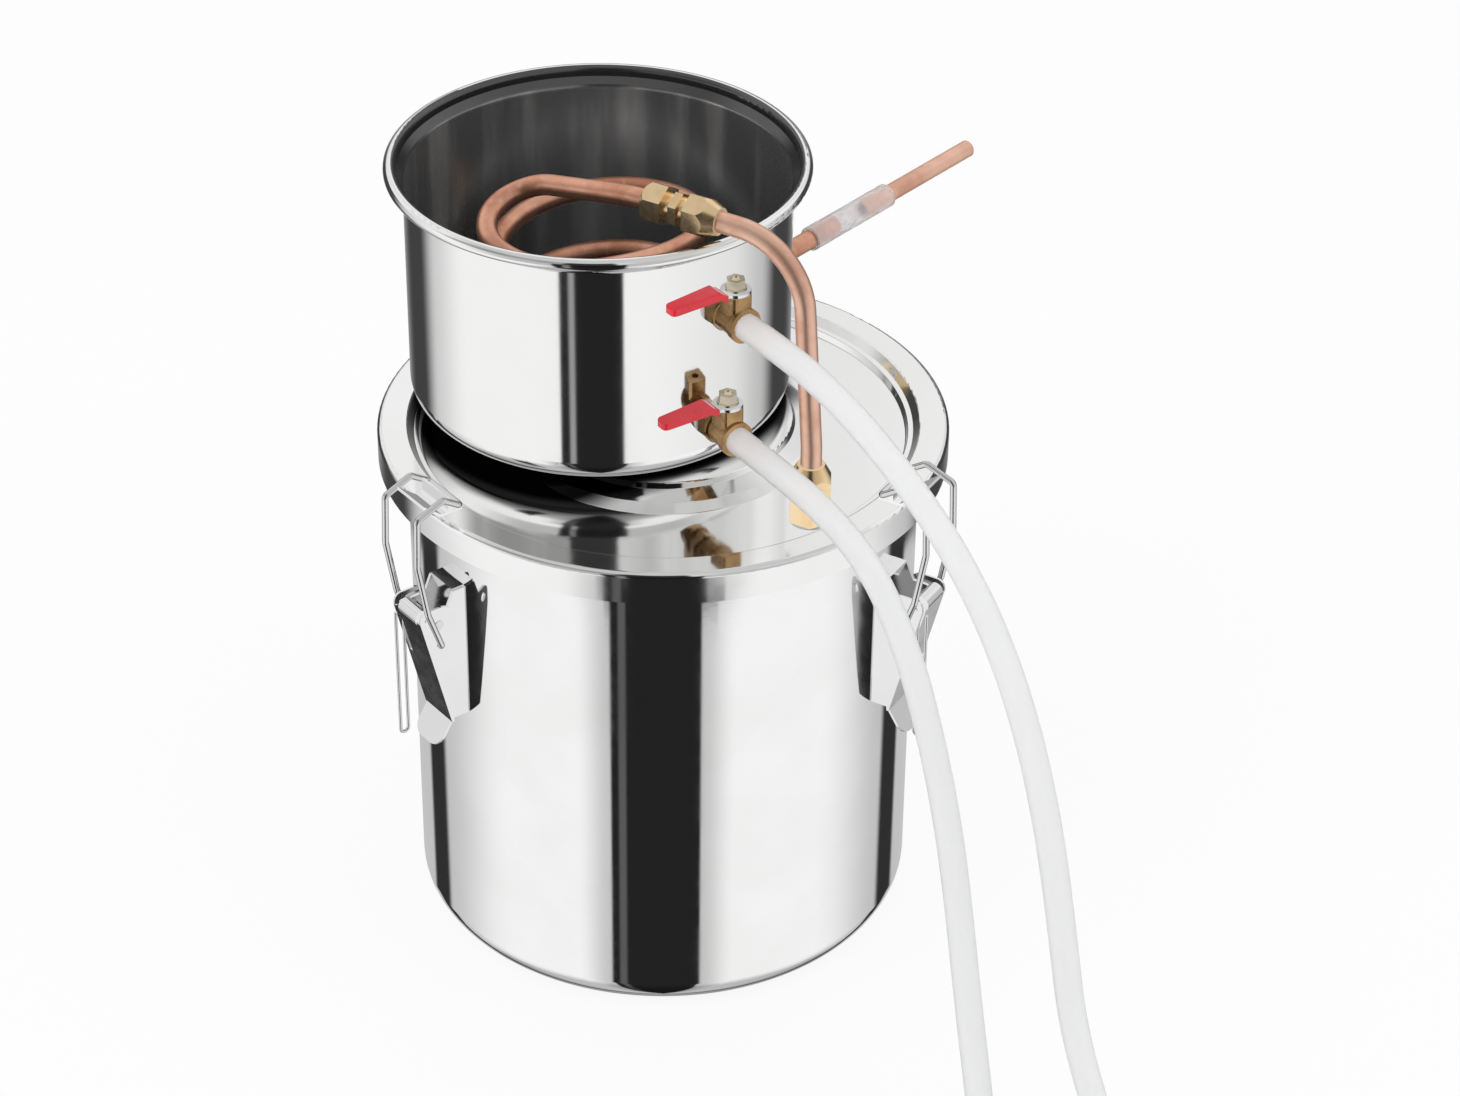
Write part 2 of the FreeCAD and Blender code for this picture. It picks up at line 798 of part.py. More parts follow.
# Union: a body with a thread at each end, two nuts and two ferrules
union_turn = about_z(dim.vapour_heading).multiply(along_x())
union_turn_back = about_z(dim.vapour_heading + 180).multiply(along_x())
union_body = cut(
    "union_body",
    fuse(
        "union_blank",
        cylinder(dim.thread_radius, thread_end - thread_start, along_union(thread_start), union_turn),
        hexagon(dim.union_flats, dim.union_hex, along_union(hex_start), union_turn)),
    cylinder(copper_bore, thread_end - thread_start, along_union(thread_start), union_turn),
    cylinder(tube_hole, pipe_end - thread_start, along_union(thread_start), union_turn),
    cylinder(tube_hole, thread_end - coil_start, along_union(coil_start), union_turn))
union_nut_inlet = place(
    fitting_nut("union_nut_inlet", dim.fitting_flats, dim.union_nut_length, dim.fitting_cone,
                dim.fitting_nose_radius),
    along_union(inlet_open), union_turn_back)
union_nut_outlet = place(
    fitting_nut("union_nut_outlet", dim.fitting_flats, dim.union_tail_nut, dim.tail_cone,
                dim.fitting_flats / 2),
    along_union(outlet_open), union_turn)
union_ferrules = group(
    "union_ferrules",
    place(ferrule(0), along_union(thread_start), union_turn_back),
    place(ferrule(0), along_union(thread_end), union_turn))

# Coil: over the rim in a small loop, down in wide turns, and out through the wall
STEP_ANGLE = 30.0
HEAD_FROM = 73.0
HEAD_CORNERS = 8
LEAD_IN = 8.0
LINK_CORNERS = [
    (-96.0, 17.9, 6.0),
    (-76.0, 7.7, 3.0),
]
TURNS_FROM = -45.0
TURN_CORNERS = 27
EXIT_SHARE = 1.25
coil_radius = bucket_inner - dim.coil_gap
coil_top = bucket_base + dim.coil_rise


def turn_corner(centre, radius, angle, height):
    """A corner of a polygon whose sides touch a circle, one side for each step of the angle."""
    reach = radius / cosine(STEP_ANGLE / 2)
    return (centre[0] + reach * cosine(angle), centre[1] + reach * sine(angle), height)


head_foot = along_union(dim.coil_head_reach)
head_centre = (
    head_foot[0] - dim.coil_head_radius * union_heading[1],
    head_foot[1] + dim.coil_head_radius * union_heading[0])
coil_points = [along_union(coil_start), along_union(union_end + LEAD_IN)]
for corner in range(HEAD_CORNERS):
    height = vapour_height - dim.coil_head_drop - dim.coil_head_fall * corner
    coil_points.append(turn_corner(head_centre, dim.coil_head_radius, HEAD_FROM + STEP_ANGLE * corner, height))
for heading, outside, above in LINK_CORNERS:
    coil_points.append(from_bucket(heading, coil_radius + outside, coil_top + above))
for corner in range(TURN_CORNERS):
    height = coil_top - dim.coil_pitch * (STEP_ANGLE * corner / 360)
    coil_points.append(turn_corner(
        (dim.bucket_x, dim.bucket_y), coil_radius, TURNS_FROM + STEP_ANGLE * corner, height))


def along_outlet(outside):
    """A place on the outlet's axis at a reach from the bucket's wall."""
    return from_bucket(dim.outlet_heading, bucket_radius + outside, outlet_height)


coil_points.append(from_bucket(dim.outlet_heading, coil_radius * EXIT_SHARE, outlet_height))
coil_points.append(along_outlet(dim.coil_tail_out))
condenser_coil = tube("condenser_coil", coil_points, dim.copper_radius, copper_bore, None, COIL_SHARE)

# Outlet gland in the bucket's wall
outlet_turn = about_z(dim.outlet_heading).multiply(along_x())
outlet_turn_back = about_z(dim.outlet_heading + 180).multiply(along_x())
outlet_gland = cut(
    "outlet_gland",
    fuse(
        "gland_blank",
        cylinder(dim.gland_tail_radius, dim.gland_tail_length + dim.seal_thick,
                 along_outlet(-dim.gland_tail_length), outlet_turn),
        hexagon(dim.gland_flats, dim.gland_hex, along_outlet(dim.seal_thick), outlet_turn)),
    cylinder(tube_hole, THROUGH, along_outlet(-THROUGH / 2), outlet_turn))


def wall_washer(name, heading, height, outer, inner):
    """A flat seal that is bedded on the bucket's round wall."""
    turn = about_z(heading).multiply(along_x())
    start = from_bucket(heading, bucket_radius - dim.seal_thick, height)
    reach = 2 * dim.seal_thick
    shell = cylinder(bucket_radius, dim.bucket_height, (dim.bucket_x, dim.bucket_y, bucket_base))
    return cut(name, cylinder(outer, reach, start, turn), cylinder(inner, reach, start, turn), shell)


outlet_gland_seal = wall_washer(
    "outlet_gland_seal", dim.outlet_heading, outlet_height, dim.gland_flats / 2, dim.gland_tail_radius)
gland_nut_out = -dim.bucket_wall - dim.gland_nut_gap
flat_down = about_z(30)
outlet_gland_nut = cut(
    "outlet_gland_nut",
    hexagon(dim.gland_nut_flats, dim.locknut_thick, along_outlet(gland_nut_out),
            outlet_turn_back.multiply(flat_down)),
    cylinder(dim.gland_tail_radius, THROUGH, along_outlet(0), outlet_turn_back))

# Sleeve, stepped to the coil's tail and to the spout's neck, and the spout
sleeve_end_out = dim.sleeve_out + dim.sleeve_length
outlet_sleeve = cut(
    "outlet_sleeve",
    cylinder(dim.copper_radius + dim.sleeve_wall, dim.sleeve_length, along_outlet(dim.sleeve_out), outlet_turn),
    cylinder(dim.copper_radius, dim.sleeve_step_out - dim.sleeve_out, along_outlet(dim.sleeve_out), outlet_turn),
    cylinder(dim.spout_neck_radius, sleeve_end_out - dim.sleeve_step_out, along_outlet(dim.sleeve_step_out),
             outlet_turn))
spout_bore = dim.spout_neck_radius - dim.copper_wall
spout_out = sleeve_end_out + dim.spout_shoulder_gap
spout_neck_length = spout_out - dim.spout_neck_out
outlet_spout = cut(
    "outlet_spout",
    fuse(
        "spout_blank",
        cylinder(dim.spout_neck_radius, spout_neck_length + PAST, along_outlet(dim.spout_neck_out), outlet_turn),
        cylinder(dim.spout_radius, dim.spout_length, along_outlet(spout_out), outlet_turn)),
    cylinder(spout_bore, spout_neck_length + dim.spout_length, along_outlet(dim.spout_neck_out), outlet_turn))

# Ball valves: made along +X with the stem along +Z, the origin on the bucket's axis
wall = bucket_radius
stem_x = wall + dim.valve_stem_reach
collar_x = wall + dim.valve_collar_reach
barb_x = collar_x + dim.valve_collar_thick
barb_end = barb_x + dim.valve_barb_length
SEAT_SHARE = 0.75
seat_inner_face = dim.valve_ball_radius - dim.valve_seat_thick * SEAT_SHARE
seat_outer_face = seat_inner_face + dim.valve_seat_thick
tower_top = dim.valve_tower_height
lever_low = tower_top + dim.valve_lever_gap
lever_high = lever_low + dim.valve_lever_thick
flange_high = lever_high + dim.valve_flange_thick
nut_high = lever_high + dim.valve_nut_thick
stem_high = nut_high - dim.valve_nut_recess
LEVER_TURN = -90
BARBS = 3


def rod(radius, start, end):
    """A round bar along +X between two reaches from the bucket's axis."""
    return cylinder(radius, end - start, (start, 0, 0), along_x())


def lever_side_view(start, cover):
    """The side outline of the lever: flat at the stem, a step up, then a slow fall to its tip."""
    neck = dim.valve_lever_neck
    shoulder = dim.valve_lever_shoulder
    step = dim.valve_lever_step
    tip = dim.valve_lever_length + cover
    low = lever_low - cover
    high = lever_high + cover
    tip_step = step - dim.valve_lever_fall
    return [
        (start, low),
        (neck, low),
        (shoulder, low + step),
        (tip, low + tip_step, dim.valve_lever_thick / 3),
        (tip, high + tip_step, dim.valve_lever_thick / 3),
        (shoulder, high + step, dim.valve_lever_thick),
        (neck, high),
        (start, high),
    ]


def lever_plan(name, start, cover):
    """The lever's plan, narrower at its tip, as a tall slab that trims its side view."""
    tip = dim.valve_lever_length + cover
    half = dim.valve_lever_half + cover
    tip_half = dim.valve_lever_tip_half + cover
    tip_round = dim.grip_round + cover
    return slab(name, "XY_Plane", [
        (start, -half),
        (tip, -tip_half, tip_round),
        (tip, tip_half, tip_round),
        (start, half),
    ], THROUGH)


def lever_plate(name):
    """The lever's strip of sheet, without its disc."""
    return common(
        name,
        slab(name + "_side", "XZ_Plane", lever_side_view(0, 0), THROUGH, True),
        lever_plan(name + "_plan", 0, 0))


def make_valve(name, heading, height):
    """The pieces of one valve, each placed on the bucket's wall."""
    pieces = {}
    spot = (dim.bucket_x, dim.bucket_y, height)
    turn = about_z(heading)

    tail_start = wall - dim.valve_tail_length
    hex_start_x = wall + dim.seal_thick
    barrel_start = hex_start_x + dim.valve_hex_length
    ring_end = collar_x - dim.valve_ring_groove
    tower_half = dim.valve_tower_half
    pieces["body"] = cut(
        name + "_body",
        fuse(
            name + "_blank",
            rod(dim.valve_tail_radius, tail_start, hex_start_x),
            hexagon(dim.valve_hex_flats, dim.valve_hex_length, (hex_start_x, 0, 0), along_x()),
            rod(dim.valve_barrel_radius, barrel_start, collar_x),
            rod(dim.valve_ring_radius, barrel_start, barrel_start + dim.valve_ring_thick),
            rod(dim.valve_ring_radius, ring_end - dim.valve_ring_thick, ring_end),
            common(
                name + "_tower",
                box(2 * tower_half, 2 * tower_half, tower_top, (stem_x - tower_half, -tower_half, 0)),
                cylinder(dim.valve_tower_corner, tower_top, (stem_x, 0, 0)))),
        rod(dim.valve_bore, tail_start - PAST, stem_x),
        rod(dim.valve_chamber, stem_x - seat_outer_face, collar_x + PAST),
        cylinder(dim.valve_stem_radius + dim.slip_clearance, tower_top + PAST, (stem_x, 0, 0)))

    barb_step = dim.valve_barb_length / (BARBS + 1)
    pieces["end"] = cut(
        name + "_end",
        fuse(
            name + "_end_blank",
            rod(dim.valve_chamber, stem_x + seat_outer_face, collar_x),
            rod(dim.valve_collar_radius, collar_x, barb_x),
            rod(dim.valve_barb_radius, barb_x, barb_end),
            *[cone(dim.hose_bore_radius, dim.valve_barb_radius, barb_step,
                   (barb_x + barb_step * (number + 1), 0, 0), along_x())
              for number in range(BARBS)]),
        rod(dim.valve_bore, stem_x, barb_end + PAST))

    ball_radius = dim.valve_ball_radius
    pieces["ball"] = cut(
        name + "_ball",
        sphere(ball_radius, (stem_x, 0, 0)),
        cylinder(dim.valve_bore, THROUGH, (stem_x, -THROUGH / 2, 0), along_y()),
        box(2 * ball_radius, 2 * ball_radius, ball_radius,
            (stem_x - ball_radius, -ball_radius, dim.valve_ball_flat)))
    for part in ("body", "end", "ball"):
        place(pieces[part], spot, turn)

    disc = cylinder(dim.valve_disc_radius, dim.valve_lever_thick, (0, 0, lever_low))
    stem_hole = cylinder(dim.valve_stem_radius, THROUGH)
    pieces["lever"] = cut(
        name + "_lever", fuse(name + "_lever_blank", lever_plate(name + "_plate"), disc), stem_hole)

    cover = dim.grip_cover
    outer = common(
        name + "_grip_outer",
        slab(name + "_grip_side", "XZ_Plane", lever_side_view(dim.grip_start, cover), THROUGH, True),
        lever_plan(name + "_grip_plan", dim.grip_start, cover))
    pieces["grip"] = cut(name + "_grip", outer, lever_plate(name + "_core"))

    pieces["nut"] = cut(
        name + "_nut",
        fuse(
            name + "_nut_blank",
            cylinder(dim.valve_flange_radius, dim.valve_flange_thick, (0, 0, lever_high)),
            hexagon(dim.valve_nut_flats, nut_high - flange_high, (0, 0, flange_high))),
        cylinder(dim.valve_stem_radius, THROUGH))

    stem_spot = from_bucket(heading, stem_x, height)
    for part in ("lever", "grip", "nut"):
        place(pieces[part], stem_spot, about_z(heading + LEVER_TURN))
    pieces["stem"] = cylinder(
        dim.valve_stem_radius, stem_high - dim.valve_ball_flat,
        (stem_spot[0], stem_spot[1], height + dim.valve_ball_flat), turn)
    return pieces


def seat(heading, height, side):
    """A seat ring on one side of the ball."""
    face = stem_x + side * seat_inner_face
    back = stem_x + side * seat_outer_face
    start = face if side > 0 else back
    end = back if side > 0 else face
    ring = cut(
        "seat",
        rod(dim.valve_chamber, start, end),
        rod(dim.valve_seat_inner, start, end),
        sphere(dim.valve_ball_radius + dim.slip_clearance, (stem_x, 0, 0)))
    return place(ring, (dim.bucket_x, dim.bucket_y, height), about_z(heading))


def inner_locknut(heading, height):
    """The nut on a valve's tail inside the bucket."""
    start = bucket_inner - PAST - dim.locknut_thick
    nut = cut(
        "locknut",
        hexagon(dim.valve_hex_flats, dim.locknut_thick, (start, 0, 0), along_x()),
        rod(dim.valve_tail_radius, start, bucket_inner))
    return place(nut, (dim.bucket_x, dim.bucket_y, height), about_z(heading))


valves = {side: make_valve("valve_" + side, *where) for side, where in valve_places.items()}
valve_seats = group("valve_seats", *[
    seat(*where, side)
    for where in valve_places.values() for side in (-1, 1)])
valve_seals = group("valve_seals", *[
    wall_washer("valve_seal", *where, dim.valve_hex_flats / 2 + PAST, dim.valve_tail_radius)
    for where in valve_places.values()])
valve_locknuts = group("valve_locknuts", *[inner_locknut(*where) for where in valve_places.values()])

# Hoses: each leaves its valve's collar level, droops over the lid's edge and hangs to the floor.
# A route is its level run past the collar, then places with their share of the valve's height.
# The first places of the upper route are reaches from the bucket's wall in the valve's heading.
hose_from = dim.valve_collar_reach + dim.valve_collar_thick
UPPER_LEVEL = 58.0
UPPER_REACHES = [
    (98.0, 0.98192),
    (140.0, 0.94019),
    (178.0, 0.88178),
    (208.0, 0.80389),
    (232.0, 0.70097),
    (250.0, 0.57580),
    (263.0, 0.43950),
]
UPPER_PLACES = [
    (185.0, -268.0, 0.30598),
    (199.0, -284.0, 0.18359),
    (211.0, -302.0, 0.08345),
    (219.0, -328.0, 0.03199),
]
UPPER_END = (226.0, -354.0)
LOWER_LEVEL = 56.0
LOWER_PLACES = [
    (76.9, -121.4, 0.96763),
    (95.8, -147.3, 0.92426),
    (110.5, -167.5, 0.83083),
    (121.6, -182.9, 0.70737),
    (130.5, -196.0, 0.57057),
    (136.5, -209.0, 0.43377),
    (141.0, -224.0, 0.30697),
    (146.0, -243.0, 0.18685),
    (150.0, -265.0, 0.08675),
    (152.0, -291.0, 0.03670),
]
LOWER_END = (152.5, -318.0)


def hose_points(side, level, reaches, places, end):
    """The points of a hose from its valve's collar to the floor."""
    heading, height = valve_places[side]
    points = [
        from_bucket(heading, wall + hose_from, height),
        from_bucket(heading, wall + level, height),
    ]
    points += [from_bucket(heading, wall + reach, height * share) for reach, share in reaches]
    points += [(across, along, height * share) for across, along, share in places]
    return points + [(end[0], end[1], dim.hose_radius)]


hose_upper = tube(
    "hose_upper", hose_points("upper", UPPER_LEVEL, UPPER_REACHES, UPPER_PLACES, UPPER_END),
    dim.hose_radius, dim.hose_bore_radius, None, HOSE_SHARE)
hose_lower = tube(
    "hose_lower", hose_points("lower", LOWER_LEVEL, [], LOWER_PLACES, LOWER_END),
    dim.hose_radius, dim.hose_bore_radius, None, HOSE_SHARE)


def hose_coil(name, centre_x, centre_y):
    """The outer shape of a turn and a bit of hose laid side by side on the floor."""
    inner = dim.hose_coil_inner
    outer = dim.hose_coil_outer
    high = 2 * dim.hose_radius
    soft = dim.hose_radius * SOFT
    ring = turned(name, [(inner, 0, soft), (outer, 0, soft), (outer, high, soft), (inner, high, soft)])
    return place(ring, (centre_x, centre_y, 0))


hose_upper_coil = hose_coil("hose_upper_coil", dim.upper_coil_x, dim.upper_coil_y)
hose_lower_coil = hose_coil("hose_lower_coil", dim.lower_coil_x, dim.lower_coil_y)

# Latches: made in a frame with +X outwards from the pot's axis, then turned to their heading
pin_x = dim.pot_radius + dim.latch_pin_out
pin_z = dim.pot_height - dim.latch_pin_drop
cheek_inner = dim.latch_cheek_half - dim.latch_cheek_thick
flange_half_in = dim.latch_cheek_half + dim.latch_side_gap
flange_half_out = flange_half_in + dim.lever_sheet
block_face = dim.pot_radius + dim.latch_block_reach
block_top = dim.pot_height - dim.latch_block_drop
block_bottom = block_top - dim.latch_block_length
lever_top_x = pin_x + dim.lever_top_out
lever_top_z = pin_z + dim.lever_top_up
lever_tip_x = pin_x - dim.lever_tip_in
lever_tip_z = pin_z - dim.lever_tip_down
lever_back_x = lever_tip_x - dim.lever_sheet
lever_crown = pin_z + dim.lever_round
barrel_x = pin_x + dim.barrel_out
barrel_z = pin_z + dim.barrel_up
bail_pivot_x = pin_x - dim.bail_pivot_in
bail_pivot_z = pin_z - dim.bail_pivot_down
web_slope = (lever_top_x - lever_tip_x) / (lever_top_z - lever_tip_z)
WEB_SLANT = 1.03
web_inset = dim.lever_sheet * WEB_SLANT
CHEEK_LIFT = 2.0
CHEEK_DROP = 1.0
CROWN_ROUND = 4.0
HEEL_DROP = 6.0
CHEEK_ROUND = 1.0
SLOT_LENGTH = 32.0
SLOT_DROP = 28.0


def web_x(height, inset=0):
    """The reach of the lever's sloping web at a height."""
    return lever_top_x - (lever_top_z - height) * web_slope - inset


def cross_hole(radius, across, up):
    """A drill along Y through a latch piece."""
    return cylinder(radius, THROUGH, (across, -THROUGH / 2, up), along_y())


def latch_base(name):
    """A block welded to the pot with two cheeks that carry the pin."""
    half = dim.latch_block_half
    toe = dim.latch_block_toe
    shoulder = block_bottom + dim.latch_block_taper
    block = slab(name + "_block", "YZ_Plane", [
        (-half, block_top),
        (-half, shoulder),
        (-toe, block_bottom),
        (toe, block_bottom),
        (half, shoulder),
        (half, block_top),
    ], block_face)
    boss = dim.latch_boss
    cheek_low = block_bottom + CHEEK_LIFT
    cheek_high = block_top - CHEEK_DROP
    cheeks = slab(name + "_cheeks", "XZ_Plane", [
        (dim.pot_radius, cheek_low),
        (web_x(cheek_low, web_inset + PAST), cheek_low),
        (pin_x + boss, pin_z - boss, CHEEK_ROUND),
        (pin_x + boss, pin_z + boss, boss * SOFT),
        (pin_x - boss, pin_z + boss),
        (block_face, cheek_high),
        (dim.pot_radius, cheek_high),
    ], 2 * dim.latch_cheek_half, True)
    gap = box(THROUGH, 2 * cheek_inner, 2 * dim.latch_block_length,
              (block_face, -cheek_inner, block_bottom - THROUGH))
    pot_cutter = cylinder(dim.pot_radius, dim.pot_height)
    return cut(
        name, fuse(name + "_blank", block, cheeks), gap, pot_cutter,
        cross_hole(dim.latch_pin_radius, pin_x, pin_z))


def latch_lever(name):
    """A channel with two side flanges, a barrel at its top and a finger tab at its tip."""
    heel_x = pin_x - dim.lever_round
    channel = slab(name + "_channel", "XZ_Plane", [
        (lever_tip_x, lever_tip_z),
        (lever_top_x, lever_top_z),
        (lever_top_x, lever_crown, CROWN_ROUND),
        (heel_x, lever_crown, dim.lever_round * SOFT),
        (heel_x, pin_z - HEEL_DROP),
        (lever_back_x, lever_tip_z),
    ], 2 * flange_half_out, True)
    hollow_low = lever_tip_z - dim.lever_round
    hollow_back = heel_x - dim.lever_round
    hollow = slab(name + "_hollow", "XZ_Plane", [
        (hollow_back, hollow_low),
        (web_x(hollow_low, web_inset), hollow_low),
        (web_x(lever_top_z, web_inset), lever_top_z),
        (lever_top_x + dim.lever_round, lever_top_z),
        (lever_top_x + dim.lever_round, lever_crown + dim.lever_round),
        (hollow_back, lever_crown + dim.lever_round),
    ], 2 * flange_half_in, True)
    barrel = cylinder(
        dim.barrel_radius, dim.barrel_left + dim.barrel_right, (barrel_x, -dim.barrel_left, barrel_z), along_y())
    tab_half = dim.lever_tab_half
    tab_length = dim.lever_tab_length
    tab = slab(name + "_tab", "XY_Plane", [
        (0, -tab_half),
        (tab_length, -tab_half, dim.lever_tab_round),
        (tab_length, tab_half, dim.lever_tab_round),
        (0, tab_half),
    ], dim.lever_sheet)
    tab_turn = FreeCAD.Rotation(FreeCAD.Vector(0, 1, 0), 90 - float(dim.lever_tab_angle))
    place(tab, (lever_back_x, 0, lever_tip_z), tab_turn)
    blank = fuse(name + "_blank", cut(name + "_shell", channel, hollow), barrel, tab)
    slot = box(THROUGH, 2 * dim.clip_slot, 2 * SLOT_LENGTH,
               (lever_tip_x, -dim.clip_side - dim.clip_slot, lever_top_z - SLOT_DROP))
    return cut(
        name, blank, slot,
        cross_hole(dim.latch_pin_radius + dim.slip_clearance, pin_x, pin_z),
        cross_hole(dim.bail_wire + dim.slip_clearance, bail_pivot_x, bail_pivot_z),
        cross_hole(dim.clip_wire + dim.slip_clearance, barrel_x, barrel_z))


# The bail's side from its pivot up to the keeper, each place from the lid's edge and top
BAIL_SIDE = [
    (9.0, -50.0),
    (14.0, -21.0),
    (13.0, 4.5),
    (-1.5, 10.5),
    (-11.5, 4.0),
]


def turned_points(points, heading):
    """Points of a latch's own frame, turned to its heading."""
    turn = about_z(heading)
    return [turn.multVec(FreeCAD.Vector(*[float(value) for value in point])) for point in points]


def latch_bail(name, heading):
    """A bent wire loop from one flange hole over the keeper to the other."""
    half = dim.bail_half
    near = [(bail_pivot_x, half, bail_pivot_z)]
    near += [(lid_outer + across, half, lid_top + up) for across, up in BAIL_SIDE]
    far = [(across, -side, up) for across, side, up in reversed(near)]
    start = (bail_pivot_x, dim.bail_stub, bail_pivot_z)
    end = (bail_pivot_x, -dim.bail_stub, bail_pivot_z)
    points = turned_points([start] + near + far + [end], heading)
    return tube(name, points, dim.bail_wire, 0, dim.bail_bend, WIRE_SHARE)


def latch_hairpin(name, heading):
    """A doubled spring wire that hangs from a rod in the lever's barrel."""
    side = -dim.clip_side
    low = barrel_z - dim.clip_length
    far_x = barrel_x + dim.clip_spread
    points = turned_points([
        (barrel_x, dim.barrel_right, barrel_z),
        (barrel_x, side, barrel_z),
        (barrel_x, side, low),
        (far_x, side, low),
        (far_x, side, barrel_z - dim.clip_short),
    ], heading)
    return tube(name, points, dim.clip_wire, 0, dim.clip_bend, WIRE_SHARE)


KEEPER_VALLEY = 1.5
KEEPER_LEAN = 1.2
KEEPER_TAPER = 0.6
KEEPER_OUTER_ROUND = 3.0
KEEPER_INNER_ROUND = 1.5


def latch_keeper():
    """A bent catch on the lid's flange: a lip that holds the bail's bar and a rising outer tongue."""
    sheet_thick = dim.keeper_sheet
    lip = lid_outer - dim.keeper_lip_in
    lip_foot = lip + sheet_thick + KEEPER_LEAN
    valley = lid_outer - KEEPER_VALLEY
    reach = lid_outer + dim.keeper_out
    low = lid_top + sheet_thick
    lip_top = lid_top + dim.keeper_lip_rise
    tongue_top = lid_top + dim.keeper_rise
    return slab("keeper", "XZ_Plane", [
        (flange_inner + PAST, lid_top),
        (valley, lid_top),
        (reach, tongue_top - sheet_thick),
        (reach - KEEPER_TAPER, tongue_top),
        (valley - KEEPER_TAPER, low, KEEPER_OUTER_ROUND),
        (lip_foot, low, KEEPER_INNER_ROUND),
        (lip_foot, lip_top),
        (lip_foot - sheet_thick, lip_top),
        (lip, low),
        (flange_inner + PAST, low),
    ], 2 * dim.keeper_half, True)


latch_headings = {
    "left": dim.latch_left_heading - 90,
    "right": dim.latch_right_heading - 90,
    "back": dim.latch_back_heading - 90,
}
pin_reach = flange_half_out + dim.latch_pin_proud
latches = {}
pins = []
keepers = []
for side, heading in latch_headings.items():
    turn = about_z(heading)
    latches["latch_base_" + side] = place(latch_base("latch_base_" + side), turn=turn)
    latches["latch_lever_" + side] = place(latch_lever("latch_lever_" + side), turn=turn)
    latches["latch_bail_" + side] = latch_bail("latch_bail_" + side, heading)
    latches["latch_hairpin_" + side] = latch_hairpin("latch_hairpin_" + side, heading)
    pin_start = turned_points([(pin_x, -pin_reach, pin_z)], heading)[0]
    pins.append(cylinder(dim.latch_pin_radius, 2 * pin_reach, pin_start, turn.multiply(along_y())))
    keepers.append(place(latch_keeper(), turn=turn))
latch_pins = group("latch_pins", *pins)
lid_keepers = group("lid_keepers", *keepers)

# The sub-parts that are written, each under its own name
subparts = {
    "boiler_pot": boiler_pot,
    "lid": lid,
    "lid_gasket": lid_gasket,
    "lid_keepers": lid_keepers,
    "latch_pins": latch_pins,
    "condenser_bucket": condenser_bucket,
    "condenser_coil": condenser_coil,
    "vapour_pipe": vapour_pipe,
    "union_body": union_body,
    "union_nut_inlet": union_nut_inlet,
    "union_nut_outlet": union_nut_outlet,
    "union_ferrules": union_ferrules,
    "lid_connector": lid_connector,
    "lid_connector_nut": lid_connector_nut,
    "lid_connector_ferrule": lid_connector_ferrule,
    "lid_connector_locknut": lid_connector_locknut,
    "lid_connector_seal": lid_connector_seal,
    "outlet_gland": outlet_gland,
    "outlet_gland_nut": outlet_gland_nut,
    "outlet_gland_seal": outlet_gland_seal,
    "outlet_sleeve": outlet_sleeve,
    "outlet_spout": outlet_spout,
    "valve_seats": valve_seats,
    "valve_seals": valve_seals,
    "valve_locknuts": valve_locknuts,
    "hose_upper": hose_upper,
    "hose_lower": hose_lower,
    "hose_upper_coil": hose_upper_coil,
    "hose_lower_coil": hose_lower_coil,
}
subparts.update(latches)
for side, pieces in valves.items():
    for part, piece in pieces.items():
        subparts["valve_%s_%s" % (side, part)] = piece

document.recompute()
for thing in document.Objects:
    if "Invalid" in thing.State or "Error" in thing.State:
        raise RuntimeError("%s failed: %s" % (thing.Label, thing.State))

os.makedirs("parts", exist_ok=True)
for name, piece in subparts.items():
    piece.Label = name
    shape = piece.Shape
    if shape.isNull() or not shape.isValid():
        raise RuntimeError("%s has no valid shape" % name)
    if not shape.Solids:
        raise RuntimeError("%s holds no solid" % name)
for name, piece in subparts.items():
    piece.Shape.exportStep("parts/%s.step" % name)
print("%d sub-parts written" % len(subparts))
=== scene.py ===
import json
import math

import bpy
from mathutils import Matrix, Vector


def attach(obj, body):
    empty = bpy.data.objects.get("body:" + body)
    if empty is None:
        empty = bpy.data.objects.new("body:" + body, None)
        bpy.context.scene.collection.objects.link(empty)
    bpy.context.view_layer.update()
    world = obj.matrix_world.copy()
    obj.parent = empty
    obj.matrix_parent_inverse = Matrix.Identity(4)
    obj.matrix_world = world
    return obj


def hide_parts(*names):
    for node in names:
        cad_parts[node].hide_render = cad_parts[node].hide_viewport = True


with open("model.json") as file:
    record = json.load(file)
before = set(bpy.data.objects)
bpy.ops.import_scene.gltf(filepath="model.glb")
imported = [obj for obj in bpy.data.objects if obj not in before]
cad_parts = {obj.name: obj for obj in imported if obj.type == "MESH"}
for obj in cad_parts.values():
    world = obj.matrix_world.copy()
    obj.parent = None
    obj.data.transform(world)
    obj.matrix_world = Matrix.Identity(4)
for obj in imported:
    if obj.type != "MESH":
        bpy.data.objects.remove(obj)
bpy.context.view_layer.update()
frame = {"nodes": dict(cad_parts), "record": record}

# Looks of a home pot still: camera, materials, hoses, floor and studio. Lengths are in metres.

nodes = frame["nodes"]
scene = bpy.context.scene
STATIC_BODY = "still"

# Places that the materials and the hoses share with the construction
BUCKET_CENTRE = Vector((-0.031, 0.027, 0.0))
BUCKET_RADIUS = 0.093
BUCKET_BASE = 0.2715
BUCKET_TOP = 0.3970
LID_HOLLOW_RADIUS = 0.1235
UPPER_HEADING = math.radians(-54.0)
LOWER_HEADING = math.radians(-56.0)
HOSE_RADIUS = 0.0065

WHITE = (1, 1, 1, 1)


# Camera: the photograph's own viewpoint

